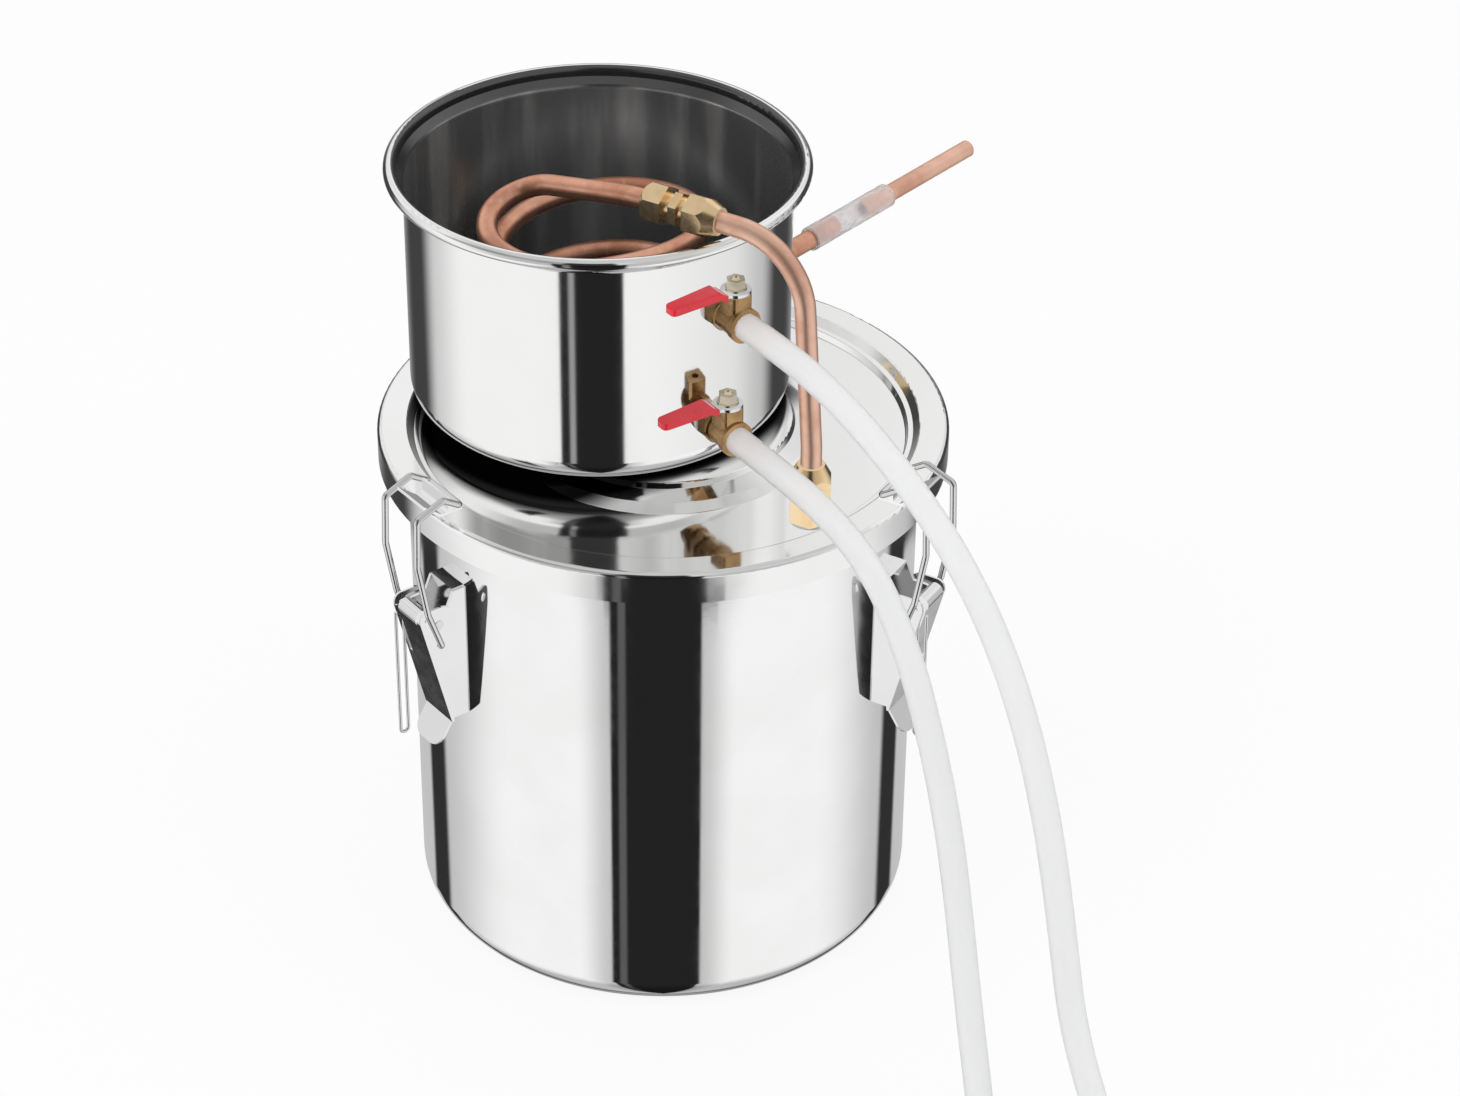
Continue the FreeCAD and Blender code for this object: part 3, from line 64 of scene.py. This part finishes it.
IMAGE_WIDTH = 1460
FOCAL_PIXELS = 3800
SENSOR_WIDTH = 36.0
CLIP_NEAR = 0.05
CLIP_FAR = 50.0
CAMERA_PLACE = Vector((0.0, -1.576, 1.239))
CAMERA_YAW = 0.021
CAMERA_PITCH = 0.586
CAMERA_ROLL = 0.012


def make_camera():
    forward = Vector((
        math.sin(CAMERA_YAW) * math.cos(CAMERA_PITCH),
        math.cos(CAMERA_YAW) * math.cos(CAMERA_PITCH),
        -math.sin(CAMERA_PITCH)))
    level_right = forward.cross(Vector((0, 0, 1))).normalized()
    level_up = level_right.cross(forward)
    right = level_right * math.cos(CAMERA_ROLL) + level_up * math.sin(CAMERA_ROLL)
    up = level_up * math.cos(CAMERA_ROLL) - level_right * math.sin(CAMERA_ROLL)
    data = bpy.data.cameras.new("camera")
    data.sensor_width = SENSOR_WIDTH
    data.lens = SENSOR_WIDTH * FOCAL_PIXELS / IMAGE_WIDTH
    data.clip_start = CLIP_NEAR
    data.clip_end = CLIP_FAR
    camera = bpy.data.objects.new("camera", data)
    scene.collection.objects.link(camera)
    turn = Matrix((right, up, -forward)).transposed().to_4x4()
    camera.matrix_world = Matrix.Translation(CAMERA_PLACE) @ turn
    scene.camera = camera


make_camera()


# Node helpers

class Nodes:
    """A short way to make and join the nodes of one tree."""

    def __init__(self, tree):
        self.tree = tree

    def add(self, kind, inputs=None, **settings):
        node = self.tree.nodes.new(kind)
        for name, value in settings.items():
            setattr(node, name, value)
        for key, value in (inputs or {}).items():
            self.feed(node.inputs[key], value)
        return node

    def feed(self, socket, value):
        """Join a node's output to a socket, or set the socket to a plain value."""
        if isinstance(value, bpy.types.NodeSocket):
            self.tree.links.new(value, socket)
        else:
            socket.default_value = value

    def feed_all(self, sockets, values):
        for socket, value in zip(sockets, values):
            self.feed(socket, value)

    def math(self, operation, *values):
        node = self.add("ShaderNodeMath", operation=operation)
        self.feed_all(node.inputs, values)
        return node.outputs[0]

    def product(self, first, *others):
        for other in others:
            first = self.math("MULTIPLY", first, other)
        return first

    def rest(self, share):
        """What a share leaves of one."""
        return self.math("SUBTRACT", 1.0, share)

    def blend(self, share, first, second):
        """Plain mix of two numbers: the first where the share is 0, the second where it is 1."""
        return self.math("ADD", self.product(first, self.rest(share)), self.product(second, share))

    def degrees(self, angle):
        return self.math("MULTIPLY", angle, 180 / math.pi)

    def vector(self, operation, *values):
        node = self.add("ShaderNodeVectorMath", operation=operation)
        self.feed_all(node.inputs, values)
        return node.outputs["Value" if operation in ("LENGTH", "DOT_PRODUCT") else "Vector"]

    def ramp(self, value, low, high, start=0.0, end=1.0):
        """A smooth step from start to end as the value goes from low to high."""
        node = self.add("ShaderNodeMapRange", interpolation_type="SMOOTHSTEP")
        self.feed_all(node.inputs[:5], (value, low, high, start, end))
        return node.outputs[0]

    def noise(self, place, scale, detail=3.0, roughness=0.5):
        node = self.add("ShaderNodeTexNoise", {
            "Vector": place, "Scale": scale, "Detail": detail, "Roughness": roughness})
        return node.outputs["Fac"]

    def mix(self, share, first, second):
        """Mix of two colours, each a node's output, a triple or a grey tone."""
        node = self.add("ShaderNodeMix", data_type="RGBA")
        sockets = (node.inputs[0], node.inputs[6], node.inputs[7])
        self.feed_all(sockets, (share, as_colour(first), as_colour(second)))
        return node.outputs[2]

    def bump(self, height, strength, distance):
        node = self.add("ShaderNodeBump", {"Strength": strength, "Distance": distance, "Height": height})
        return node.outputs["Normal"]

    def mix_shaders(self, share, first, second):
        node = self.add("ShaderNodeMixShader")
        self.feed_all(node.inputs, (share, first, second))
        return node.outputs[0]

    def looked_at(self):
        """One for rays that come from the camera, straight or through clear silicone."""
        path = self.add("ShaderNodeLightPath").outputs
        return self.math("MAXIMUM", path["Is Camera Ray"], path["Is Transmission Ray"])


def as_colour(value):
    if isinstance(value, float):
        return (value, value, value, 1)
    if isinstance(value, tuple):
        return (*value, 1)
    return value


def new_material(name):
    """A material with its nodes, its surface shader and the object's own coordinates."""
    material = bpy.data.materials.new(name)
    material.use_nodes = True
    kit = Nodes(material.node_tree)
    shader = material.node_tree.nodes["Principled BSDF"]
    place = kit.add("ShaderNodeTexCoord").outputs["Object"]
    return material, kit, shader, place


def dress(kit, shader, colour, rough, relief, metallic=0.0):
    """Give a surface shader its colour, gloss and relief."""
    kit.feed(shader.inputs["Base Color"], colour)
    kit.feed(shader.inputs["Metallic"], metallic)
    kit.feed(shader.inputs["Roughness"], rough)
    kit.feed(shader.inputs["Normal"], relief)


# Materials: most ramps spread out one of these two ranges of a noise, whose values keep near one half

RANGE = (0.3, 0.7)
LONG_RANGE = (0.3, 0.75)
HAIRLINE_STRETCH = (60.0, 60.0, 2600.0)
HAIRLINE_DEPTH = 0.00002


def brushed(kit, place, strength):
    """Fine hairlines that run round the upright walls."""
    height = kit.noise(kit.vector("MULTIPLY", place, HAIRLINE_STRETCH), scale=1.0, detail=4.0, roughness=0.7)
    return kit.bump(height, strength, HAIRLINE_DEPTH)


def steel_material(name, tone, rough, scratch):
    """Polished stainless: fine hairlines, faint smears in the gloss and a trace of tint."""
    material, kit, shader, place = new_material(name)
    smear = kit.noise(place, scale=22.0, detail=4.0)
    fine = kit.noise(place, scale=140.0)
    haze = kit.math("ADD", kit.product(smear, 0.6), kit.product(fine, 0.4))
    tinted = kit.ramp(smear, 0.35, 0.7)
    dress(kit, shader,
          colour=kit.mix(tinted, tone, (tone * 0.965, tone * 0.965, tone * 0.96)),
          rough=kit.ramp(haze, *LONG_RANGE, *rough),
          relief=brushed(kit, place, scratch),
          metallic=1.0)
    return material


def from_bucket(kit, place):
    """The way outward from the bucket's centre line to a point, and how far that is."""
    flat = kit.vector("MULTIPLY", kit.vector("SUBTRACT", place, tuple(BUCKET_CENTRE)), (1, 1, 0))
    return kit.vector("NORMALIZE", flat), kit.vector("LENGTH", flat)


# Distances from the bucket's centre line at which its shade on the lid is full and at which it ends
FULL_SHADE = BUCKET_RADIUS - 0.003
NO_SHADE = BUCKET_RADIUS + 0.006
SHADE_TONE = 0.008
HOLLOW_EDGE = 0.001


def lid_material():
    """The lid's polished steel, nearly black in its hollow where the bucket shades it."""
    material, kit, shader, place = new_material("lid_steel")
    distance = from_bucket(kit, place)[1]
    reach = kit.vector("LENGTH", kit.vector("MULTIPLY", place, (1, 1, 0)))
    near = kit.ramp(distance, FULL_SHADE, NO_SHADE, 1.0, 0.0)
    hollow = kit.ramp(reach, LID_HOLLOW_RADIUS, LID_HOLLOW_RADIUS + HOLLOW_EDGE, 1.0, 0.0)
    smear = kit.noise(place, scale=24.0, detail=4.0)
    wave = kit.noise(place, scale=30.0, detail=2.0)
    steel = kit.mix(smear, 0.94, (0.88, 0.88, 0.87))
    dress(kit, shader,
          colour=kit.mix(kit.product(near, hollow), steel, SHADE_TONE),
          rough=kit.ramp(smear, *LONG_RANGE, 0.05, 0.10),
          relief=kit.bump(wave, strength=0.25, distance=0.0003),
          metallic=1.0)
    return material


# Heights between which painted shade darkens the bucket's outside toward the lid, and its inside toward the
# flare
FOOT_SHADE = (BUCKET_BASE + 0.0005, BUCKET_BASE + 0.0040)
FLARE_SHADE = (BUCKET_TOP - 0.0105, BUCKET_TOP - 0.0080)
FOOT_TONE = 0.03
FLARE_TONE = 0.11
INSIDE_FACING = (-0.12, -0.3)
INSIDE_ROUGHER = 0.13
INSIDE_LESS_METAL = 0.15


def bucket_material():
    """The bucket's steel: polished outside, satin and dim inside. The dim inside is painted shade with
    painted light streaks; painted shade also darkens its foot outside and its flare inside.
    """
    material, kit, shader, place = new_material("bucket_steel")
    outward = from_bucket(kit, place)[0]
    normal = kit.add("ShaderNodeNewGeometry").outputs["Normal"]
    inside = kit.ramp(kit.vector("DOT_PRODUCT", normal, outward), *INSIDE_FACING)
    height = kit.add("ShaderNodeSeparateXYZ", {"Vector": place}).outputs["Z"]
    # Painted shade: the outside darkens at its foot, where the bucket stands on the lid, and the inside
    # darkens at the flare
    foot = kit.ramp(height, *FOOT_SHADE, 1.0, 0.0)
    flare = kit.product(inside, kit.ramp(height, *FLARE_SHADE))
    smear = kit.noise(place, scale=20.0, detail=4.0)
    # Painted light: upright streaks of lighter grey on the bucket's inner wall
    painted_light_streaks = kit.noise(kit.vector("MULTIPLY", place, (46.0, 46.0, 5.0)), scale=1.0)
    polish = kit.ramp(smear, *LONG_RANGE, 0.06, 0.09)
    outer = kit.mix(smear, 0.93, (0.90, 0.90, 0.89))
    outer = kit.mix(foot, outer, FOOT_TONE)
    # The inside's colour: painted shade, a dim grey, lightened in streaks by painted light
    inner = kit.mix(kit.ramp(painted_light_streaks, 0.45, 0.7), (0.39, 0.395, 0.40), (0.82, 0.81, 0.80))
    inner = kit.mix(flare, inner, FLARE_TONE)
    dress(kit, shader,
          colour=kit.mix(inside, outer, inner),
          rough=kit.math("ADD", polish, kit.product(inside, INSIDE_ROUGHER)),
          relief=brushed(kit, place, 0.12),
          metallic=kit.rest(kit.product(inside, INSIDE_LESS_METAL)))
    return material


def copper_material(name, bright, brown, pale, rough):
    """Drawn copper tube: bright, browner in patches, with small pale flecks."""
    material, kit, shader, place = new_material(name)
    patch = kit.noise(place, scale=34.0, detail=5.0, roughness=0.6)
    fleck = kit.noise(place, scale=260.0, detail=4.0, roughness=0.6)
    browner = kit.ramp(patch, 0.40, 0.66)
    paler = kit.ramp(fleck, 0.56, 0.74, 0.0, 0.4)
    dress(kit, shader,
          colour=kit.mix(paler, kit.mix(browner, bright, brown), pale),
          rough=kit.ramp(patch, *LONG_RANGE, *rough),
          relief=kit.bump(fleck, strength=0.10, distance=0.0001),
          metallic=1.0)
    return material


def brass_material(name, bright, dull, rough, grain_scale, grain_depth):
    """Brass or zinc whose surface runs from bright to dull, with a grain."""
    material, kit, shader, place = new_material(name)
    patch = kit.noise(place, scale=90.0, detail=4.0)
    grain = kit.noise(place, grain_scale, detail=4.0, roughness=0.65)
    duller = kit.ramp(patch, 0.38, 0.66)
    dress(kit, shader,
          colour=kit.mix(duller, bright, dull),
          rough=kit.ramp(grain, *RANGE, *rough),
          relief=kit.bump(grain, strength=0.5, distance=grain_depth),
          metallic=1.0)
    return material


def vinyl_material():
    """Dipped vinyl: glossy red with slow ripples."""
    material, kit, shader, place = new_material("red_vinyl")
    ripple = kit.noise(place, scale=90.0)
    dress(kit, shader,
          colour=kit.mix(ripple, (0.84, 0.012, 0.035), (0.62, 0.006, 0.018)),
          rough=kit.ramp(ripple, *RANGE, 0.16, 0.28),
          relief=kit.bump(ripple, strength=0.3, distance=0.0006))
    shader.inputs["Coat Weight"].default_value = 0.35
    shader.inputs["Coat Roughness"].default_value = 0.06
    return material


SILICONE_IOR = 1.40
SILICONE_GLOW_DEPTH = 0.006


def silicone_material(name, milk, transmission, rough, glow):
    """Milky silicone: cloudy inside, with a soft gloss."""
    material, kit, shader, place = new_material(name)
    cloud = kit.noise(place, scale=45.0, detail=4.0)
    fine = kit.noise(place, scale=420.0)
    dim = (milk[0] * 0.97, milk[1] * 0.975, milk[2] * 0.98)
    dress(kit, shader,
          colour=kit.mix(cloud, milk, dim),
          rough=kit.ramp(cloud, *RANGE, rough, rough + 0.1),
          relief=kit.bump(fine, strength=0.02, distance=0.00005))
    shader.inputs["Transmission Weight"].default_value = transmission
    shader.inputs["IOR"].default_value = SILICONE_IOR
    shader.inputs["Subsurface Weight"].default_value = glow
    shader.inputs["Subsurface Radius"].default_value = (SILICONE_GLOW_DEPTH,) * 3
    shader.inputs["Subsurface Scale"].default_value = 1.0
    return material


def plastic_material():
    """White seat plastic with a faint mould grain."""
    material, kit, shader, place = new_material("seat_plastic")
    grain = kit.noise(place, scale=500.0)
    dress(kit, shader,
          colour=kit.mix(grain, (0.90, 0.90, 0.88), (0.84, 0.84, 0.82)),
          rough=0.5,
          relief=kit.bump(grain, strength=0.1, distance=0.0001))
    return material


finishes = {
    "polished_steel": steel_material("polished_steel", tone=0.93, rough=(0.03, 0.07), scratch=0.12),
    "pressed_steel": steel_material("pressed_steel", tone=0.84, rough=(0.10, 0.18), scratch=0.2),
    "steel_wire": steel_material("steel_wire", tone=0.74, rough=(0.12, 0.20), scratch=0.2),
    "copper": copper_material(
        "copper_tube", bright=(0.98, 0.63, 0.48), brown=(0.82, 0.46, 0.33), pale=(0.98, 0.79, 0.68),
        rough=(0.42, 0.54)),
    "bright_brass": brass_material(
        "bright_brass", bright=(0.99, 0.77, 0.48), dull=(0.94, 0.66, 0.36),
        rough=(0.20, 0.28), grain_scale=300.0, grain_depth=0.000015),
    "cast_brass": brass_material(
        "cast_brass", bright=(0.52, 0.32, 0.15), dull=(0.33, 0.19, 0.08),
        rough=(0.24, 0.40), grain_scale=420.0, grain_depth=0.0002),
    "silicone_seal": silicone_material(
        "silicone_seal", milk=(0.86, 0.87, 0.87), transmission=0.1, rough=0.4, glow=0.25),
    "silicone_hose": silicone_material(
        "silicone_hose", milk=(0.97, 0.97, 0.97), transmission=0.22, rough=0.32, glow=0.30),
    "seat_plastic": plastic_material(),
    "red_vinyl": vinyl_material(),
}

# Pieces whose look differs from their slot's
yellow_zinc = brass_material(
    "yellow_zinc", bright=(0.60, 0.54, 0.42), dull=(0.46, 0.40, 0.29),
    rough=(0.20, 0.34), grain_scale=300.0, grain_depth=0.00008)
# Painted shade: the coil inside the bucket gets a darker copy of the tube's copper
shaded_coil_copper = copper_material(
    "shaded_coil_copper", bright=(0.86, 0.45, 0.31), brown=(0.60, 0.27, 0.165), pale=(0.94, 0.66, 0.54),
    rough=(0.34, 0.48))
clear_silicone = silicone_material(
    "clear_silicone", milk=(0.985, 0.97, 0.965), transmission=0.80, rough=0.30, glow=0.0)
own_finishes = {
    "condenser_bucket": bucket_material(),
    "condenser_coil": shaded_coil_copper,
    "lid": lid_material(),
    "outlet_sleeve": clear_silicone,
    "valve_upper_nut": yellow_zinc,
    "valve_lower_nut": yellow_zinc,
}

slot_of_node = {entry["node"]: entry["material_slot"] for entry in frame["record"]["subparts"]}
for name, thing in nodes.items():
    material = own_finishes.get(name) or finishes[slot_of_node[name]]
    for slot in thing.material_slots:
        slot.material = material

# The pieces whose mirror images the polished steel shows; the others leave it clear
MIRRORED = ("condenser_bucket", "union_", "outlet_", "latch_base_", "valve_lower_body")
for name, thing in nodes.items():
    thing.visible_glossy = name.startswith(MIRRORED)


# Hoses: one spline each, from the valve's collar to the cut end of its put-away turns

def along_valve(heading, reach, height):
    """A place in one valve's upright plane, at a reach from the bucket's wall."""
    away = BUCKET_RADIUS + reach
    return (BUCKET_CENTRE.x + away * math.cos(heading), BUCKET_CENTRE.y + away * math.sin(heading), height)


HOSE_FROM = 0.024
UPPER_HEIGHT = 0.3595
LOWER_HEIGHT = 0.2997

# Each hose leaves in its valve's plane, at these reaches and heights, and then turns off to its ring
UPPER_FALL = (
    (HOSE_FROM, UPPER_HEIGHT),
    (0.058, UPPER_HEIGHT),
    (0.098, 0.353),
    (0.140, 0.338),
    (0.178, 0.317),
    (0.208, 0.289),
    (0.232, 0.252),
    (0.250, 0.207),
    (0.263, 0.158),
)
LOWER_FALL = (
    (HOSE_FROM, LOWER_HEIGHT),
    (0.056, LOWER_HEIGHT),
)
UPPER_ROUTE = [along_valve(UPPER_HEADING, *stop) for stop in UPPER_FALL] + [
    (0.1850, -0.2680, 0.1100),
    (0.1990, -0.2840, 0.0660),
    (0.2110, -0.3020, 0.0300),
    (0.2190, -0.3280, 0.0115),
    (0.2260, -0.3540, HOSE_RADIUS),
]
LOWER_ROUTE = [along_valve(LOWER_HEADING, *stop) for stop in LOWER_FALL] + [
    (0.0769, -0.1214, 0.2900),
    (0.0958, -0.1473, 0.2770),
    (0.1105, -0.1675, 0.2490),
    (0.1216, -0.1829, 0.2120),
    (0.1305, -0.1960, 0.1710),
    (0.1365, -0.2090, 0.1300),
    (0.1410, -0.2240, 0.0920),
    (0.1460, -0.2430, 0.0560),
    (0.1500, -0.2650, 0.0260),
    (0.1520, -0.2910, 0.0110),
    (0.1525, -0.3180, HOSE_RADIUS),
]
UPPER_RING_CENTRE = (0.3047, -0.3328)
LOWER_RING_CENTRE = (0.0710, -0.3194)
RING_RADIUS = 0.0815
RING_STEPS = 16
TURN_SHIFT = 2 * HOSE_RADIUS
SPLINE_ORDER = 3
SPLINE_STEPS = 8
BEVEL_STEPS = 6


def ring_points(centre, start, way, turns):
    """Control points of the put-away turns, each a hose's width inside the one before."""
    widen = 1 / math.cos(math.pi / RING_STEPS)
    points = []
    for step in range(1, int(turns * RING_STEPS) + 1):
        share = step / RING_STEPS
        angle = start + way * 2 * math.pi * share
        radius = (RING_RADIUS - TURN_SHIFT * share) * widen
        points.append((
            centre[0] + radius * math.cos(angle), centre[1] + radius * math.sin(angle), HOSE_RADIUS))
    return points


def make_hose(name, route, centre, way, turns, solids):
    """A smooth hose along a route and its turns, attached to the still's body in place of the solid hoses,
    which it hides.
    """
    end = Vector(route[-1]) - Vector((*centre, 0))
    points = route + ring_points(centre, math.atan2(end.y, end.x), way, turns)
    curve = bpy.data.curves.new(name, "CURVE")
    curve.dimensions = "3D"
    spline = curve.splines.new("NURBS")
    spline.points.add(len(points) - 1)
    for knot, point in zip(spline.points, points):
        knot.co = (*point, 1)
    spline.order_u = SPLINE_ORDER
    spline.use_endpoint_u = True
    spline.resolution_u = SPLINE_STEPS
    curve.bevel_depth = HOSE_RADIUS
    curve.bevel_resolution = BEVEL_STEPS
    curve.use_fill_caps = True
    curve.materials.append(finishes["silicone_hose"])
    hose = bpy.data.objects.new(name, curve)
    hose.visible_glossy = False
    scene.collection.objects.link(hose)
    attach(hose, STATIC_BODY)
    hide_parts(*solids)


make_hose("upper_hose", UPPER_ROUTE, UPPER_RING_CENTRE, way=1, turns=1.0,
          solids=("hose_upper", "hose_upper_coil"))
make_hose("lower_hose", LOWER_ROUTE, LOWER_RING_CENTRE, way=-1, turns=1.25,
          solids=("hose_lower", "hose_lower_coil"))


# Floor

FLOOR_SIZE = 12.0
FLOOR_DROP = 0.0002
FLOOR_TONE = 0.92
FLOOR_ROUGH = 0.8
FLOOR_GLOW = 0.88


def make_floor():
    """A pale floor that keeps a weak shadow and is left out of the metal's reflections."""
    bpy.ops.mesh.primitive_plane_add(size=FLOOR_SIZE, location=(0, 0, -FLOOR_DROP))
    floor = bpy.context.object
    floor.name = "floor"
    material = bpy.data.materials.new("floor")
    material.use_nodes = True
    tree = material.node_tree
    kit = Nodes(tree)
    shader = tree.nodes["Principled BSDF"]
    shader.inputs["Base Color"].default_value = as_colour(FLOOR_TONE)
    shader.inputs["Roughness"].default_value = FLOOR_ROUGH
    glow = kit.add("ShaderNodeEmission", {"Color": WHITE, "Strength": 1.0})
    share = kit.product(kit.looked_at(), FLOOR_GLOW)
    mixed = kit.mix_shaders(share, shader.outputs[0], glow.outputs[0])
    kit.feed(tree.nodes["Material Output"].inputs["Surface"], mixed)
    floor.data.materials.append(material)
    floor.visible_glossy = False


# Studio: what polished metal mirrors, in degrees of bearing (0 in front of the still, positive to its right)
# and of rise. A pair of values holds for the upper and the lower part of the walls. In the photograph's view
# the bucket mirrors the upper part, the lid's skirt a thin band of the lower part, and the pot what is below
# that band.
LOWER_PART = (-33.0, -33.6)
SKIRT_FROM = (-33.7, -33.85)
SKIRT_TO = (-34.32, -34.42)

GAP_MIDDLE = (-3.9, -3.5)
GAP_HALF_WIDTH = (18.8, 20.7)
GAP_SKIRT_SHIFT = 2.4
GAP_SKIRT_WIDER = 4.9
GAP_EDGE = 0.7
GAP_TONE = 0.017
LINE_BEARING = (-15.5, -18.8)
LINE_EDGE = (1.0, 2.4)
LINE_TONE = (0.33, 0.09)
FRONT_FADE_WIDTH = 17.0
FRONT_FADE_TONE = 0.62

REAR_GAP_FROM = ((112.0, 121.0), (130.0, 126.0))
REAR_GAP_TO = ((146.0, 139.0), (176.0, 144.0))
REAR_GAP_LEFT_OVER = (0.5, 0.0)
REAR_GAP_TONE = (0.055, 0.03)
REAR_FADE = ((84.0, 75.0), (116.0, 124.0))
REAR_FADE_TONE = (0.68, 0.58)
RIGHT_FADE = (22.0, 100.0)
RIGHT_FADE_TONE = 0.84
WALL_TONE = 0.96
UNDER_RISE = (-46.0, -60.0)
UNDER_TONE = 0.55
DIM_RISE = (-24.0, -18.0)
DIM_SIDE = (40.0, 80.0)
DIM_SHARE = 0.45

CEILING_RISE = (12.0, 22.0)
CEILING_TURN = (-12.0, 12.0)
CEILING_TONES = (0.40, 0.64)
CEILING_GAP = (13.0, 16.0)
CEILING_GAP_TONE = 0.03
CEILING_REAR = (80.0, 100.0)
STREAK_STRETCH = (4.0, 4.0, 1.0)
FRONT_STREAKS = (0.75, 1.15)
REAR_STREAKS = (0.96, 0.78)
OVERHEAD_RISE = (46.0, 60.0)
OVERHEAD_TONE = 0.60


def studio_tone(kit):
    """White walls with dark gaps, and a streaked ceiling."""
    way = kit.add("ShaderNodeTexCoord").outputs["Generated"]
    across, depth, height = kit.add("ShaderNodeSeparateXYZ", {"Vector": way}).outputs
    bearing = kit.degrees(kit.math("ARCTAN2", across, kit.product(depth, -1.0)))
    rise = kit.degrees(kit.math("ARCSINE", height))
    side = kit.math("ABSOLUTE", bearing)
    low = kit.ramp(rise, *LOWER_PART)
    skirt = kit.product(kit.ramp(rise, *SKIRT_FROM), kit.ramp(rise, *SKIRT_TO, 1.0, 0.0))

    def by_part(pair):
        """The first of two values in the walls' upper part, the second in their lower part."""
        upper, lower = pair
        return kit.math("ADD", upper, kit.product(low, lower - upper))

    def ramp_by_part(ends, start, end):
        return kit.ramp(side, by_part(ends[0]), by_part(ends[1]), start, end)

    # Walls: one dark gap in front and one at each rear corner, with the white dimming toward them
    middle = kit.math("ADD", by_part(GAP_MIDDLE), kit.product(skirt, GAP_SKIRT_SHIFT))
    half_width = kit.math("ADD", by_part(GAP_HALF_WIDTH), kit.product(skirt, GAP_SKIRT_WIDER))
    from_middle = kit.math("ABSOLUTE", kit.math("SUBTRACT", bearing, middle))
    from_gap = kit.math("SUBTRACT", from_middle, half_width)
    front_gap = kit.ramp(from_gap, -GAP_EDGE, GAP_EDGE, 1.0, 0.0)
    from_line = kit.math("ABSOLUTE", kit.math("SUBTRACT", bearing, by_part(LINE_BEARING)))
    line = kit.ramp(from_line, *LINE_EDGE, by_part(LINE_TONE), 0.0)
    front_fade = kit.blend(low, 1.0, kit.ramp(from_gap, 0.0, FRONT_FADE_WIDTH, FRONT_FADE_TONE, 1.0))
    rear_gap = kit.product(
        ramp_by_part(REAR_GAP_FROM, 0.0, 1.0), ramp_by_part(REAR_GAP_TO, 1.0, by_part(REAR_GAP_LEFT_OVER)))
    rear_fade = ramp_by_part(REAR_FADE, 1.0, by_part(REAR_FADE_TONE))
    right_fade = kit.ramp(kit.product(bearing, kit.rest(low)), *RIGHT_FADE, 1.0, RIGHT_FADE_TONE)
    walls = kit.product(front_fade, rear_fade, right_fade, WALL_TONE)
    walls = kit.blend(rear_gap, walls, by_part(REAR_GAP_TONE))
    walls = kit.blend(front_gap, walls, kit.math("ADD", GAP_TONE, line))
    walls = kit.product(walls, kit.ramp(rise, *UNDER_RISE, 1.0, UNDER_TONE))

    # The front wall is dimmer above the stretch that the upright walls mirror
    dimmer = kit.product(kit.ramp(rise, *DIM_RISE), kit.ramp(side, *DIM_SIDE, 1.0, 0.0), DIM_SHARE)
    walls = kit.product(walls, kit.rest(dimmer))

    # Ceiling: grey with a dark gap in front, light behind, and duller overhead
    streak = kit.noise(kit.vector("MULTIPLY", way, STREAK_STRETCH), scale=1.0)
    front = kit.product(
        kit.ramp(bearing, *CEILING_TURN, *CEILING_TONES), kit.ramp(streak, *RANGE, *FRONT_STREAKS))
    front = kit.blend(kit.ramp(from_middle, *CEILING_GAP, 1.0, 0.0), front, CEILING_GAP_TONE)
    rear = kit.ramp(streak, *RANGE, *REAR_STREAKS)
    ceiling = kit.blend(kit.ramp(side, *CEILING_REAR), front, rear)
    ceiling = kit.blend(kit.ramp(rise, *OVERHEAD_RISE), ceiling, OVERHEAD_TONE)
    return kit.blend(kit.ramp(rise, *CEILING_RISE), walls, ceiling)


PLAIN_LIGHT = 0.85


def make_world():
    """Plain light for the object, white for the camera, and the studio for the metal to mirror."""
    world = bpy.data.worlds.new("studio")
    scene.world = world
    world.use_nodes = True
    world.node_tree.nodes.clear()
    kit = Nodes(world.node_tree)

    def background(strength):
        return kit.add("ShaderNodeBackground", {"Color": WHITE, "Strength": strength}).outputs[0]

    glossy = kit.add("ShaderNodeLightPath").outputs["Is Glossy Ray"]
    lit = kit.mix_shaders(glossy, background(PLAIN_LIGHT), background(studio_tone(kit)))
    seen = kit.mix_shaders(kit.looked_at(), lit, background(1.0))
    kit.add("ShaderNodeOutputWorld", {"Surface": seen})


# Lights: both aim at the middle of the still and stay out of the reflections
LIGHT_TARGET = Vector((0, 0, 0.2))
LIGHT_SIZE = 1.4


def area_light(name, place, power):
    data = bpy.data.lights.new(name, "AREA")
    data.shape = "SQUARE"
    data.size = LIGHT_SIZE
    data.energy = power
    lamp = bpy.data.objects.new(name, data)
    lamp.location = place
    lamp.rotation_euler = (LIGHT_TARGET - Vector(place)).to_track_quat("-Z", "Y").to_euler()
    lamp.visible_glossy = False
    scene.collection.objects.link(lamp)


make_floor()
make_world()
area_light("key_light", (-1.6, -1.2, 2.2), power=14.0)
area_light("fill_light", (1.9, -0.9, 1.6), power=7.0)

scene.view_settings.view_transform = "Standard"
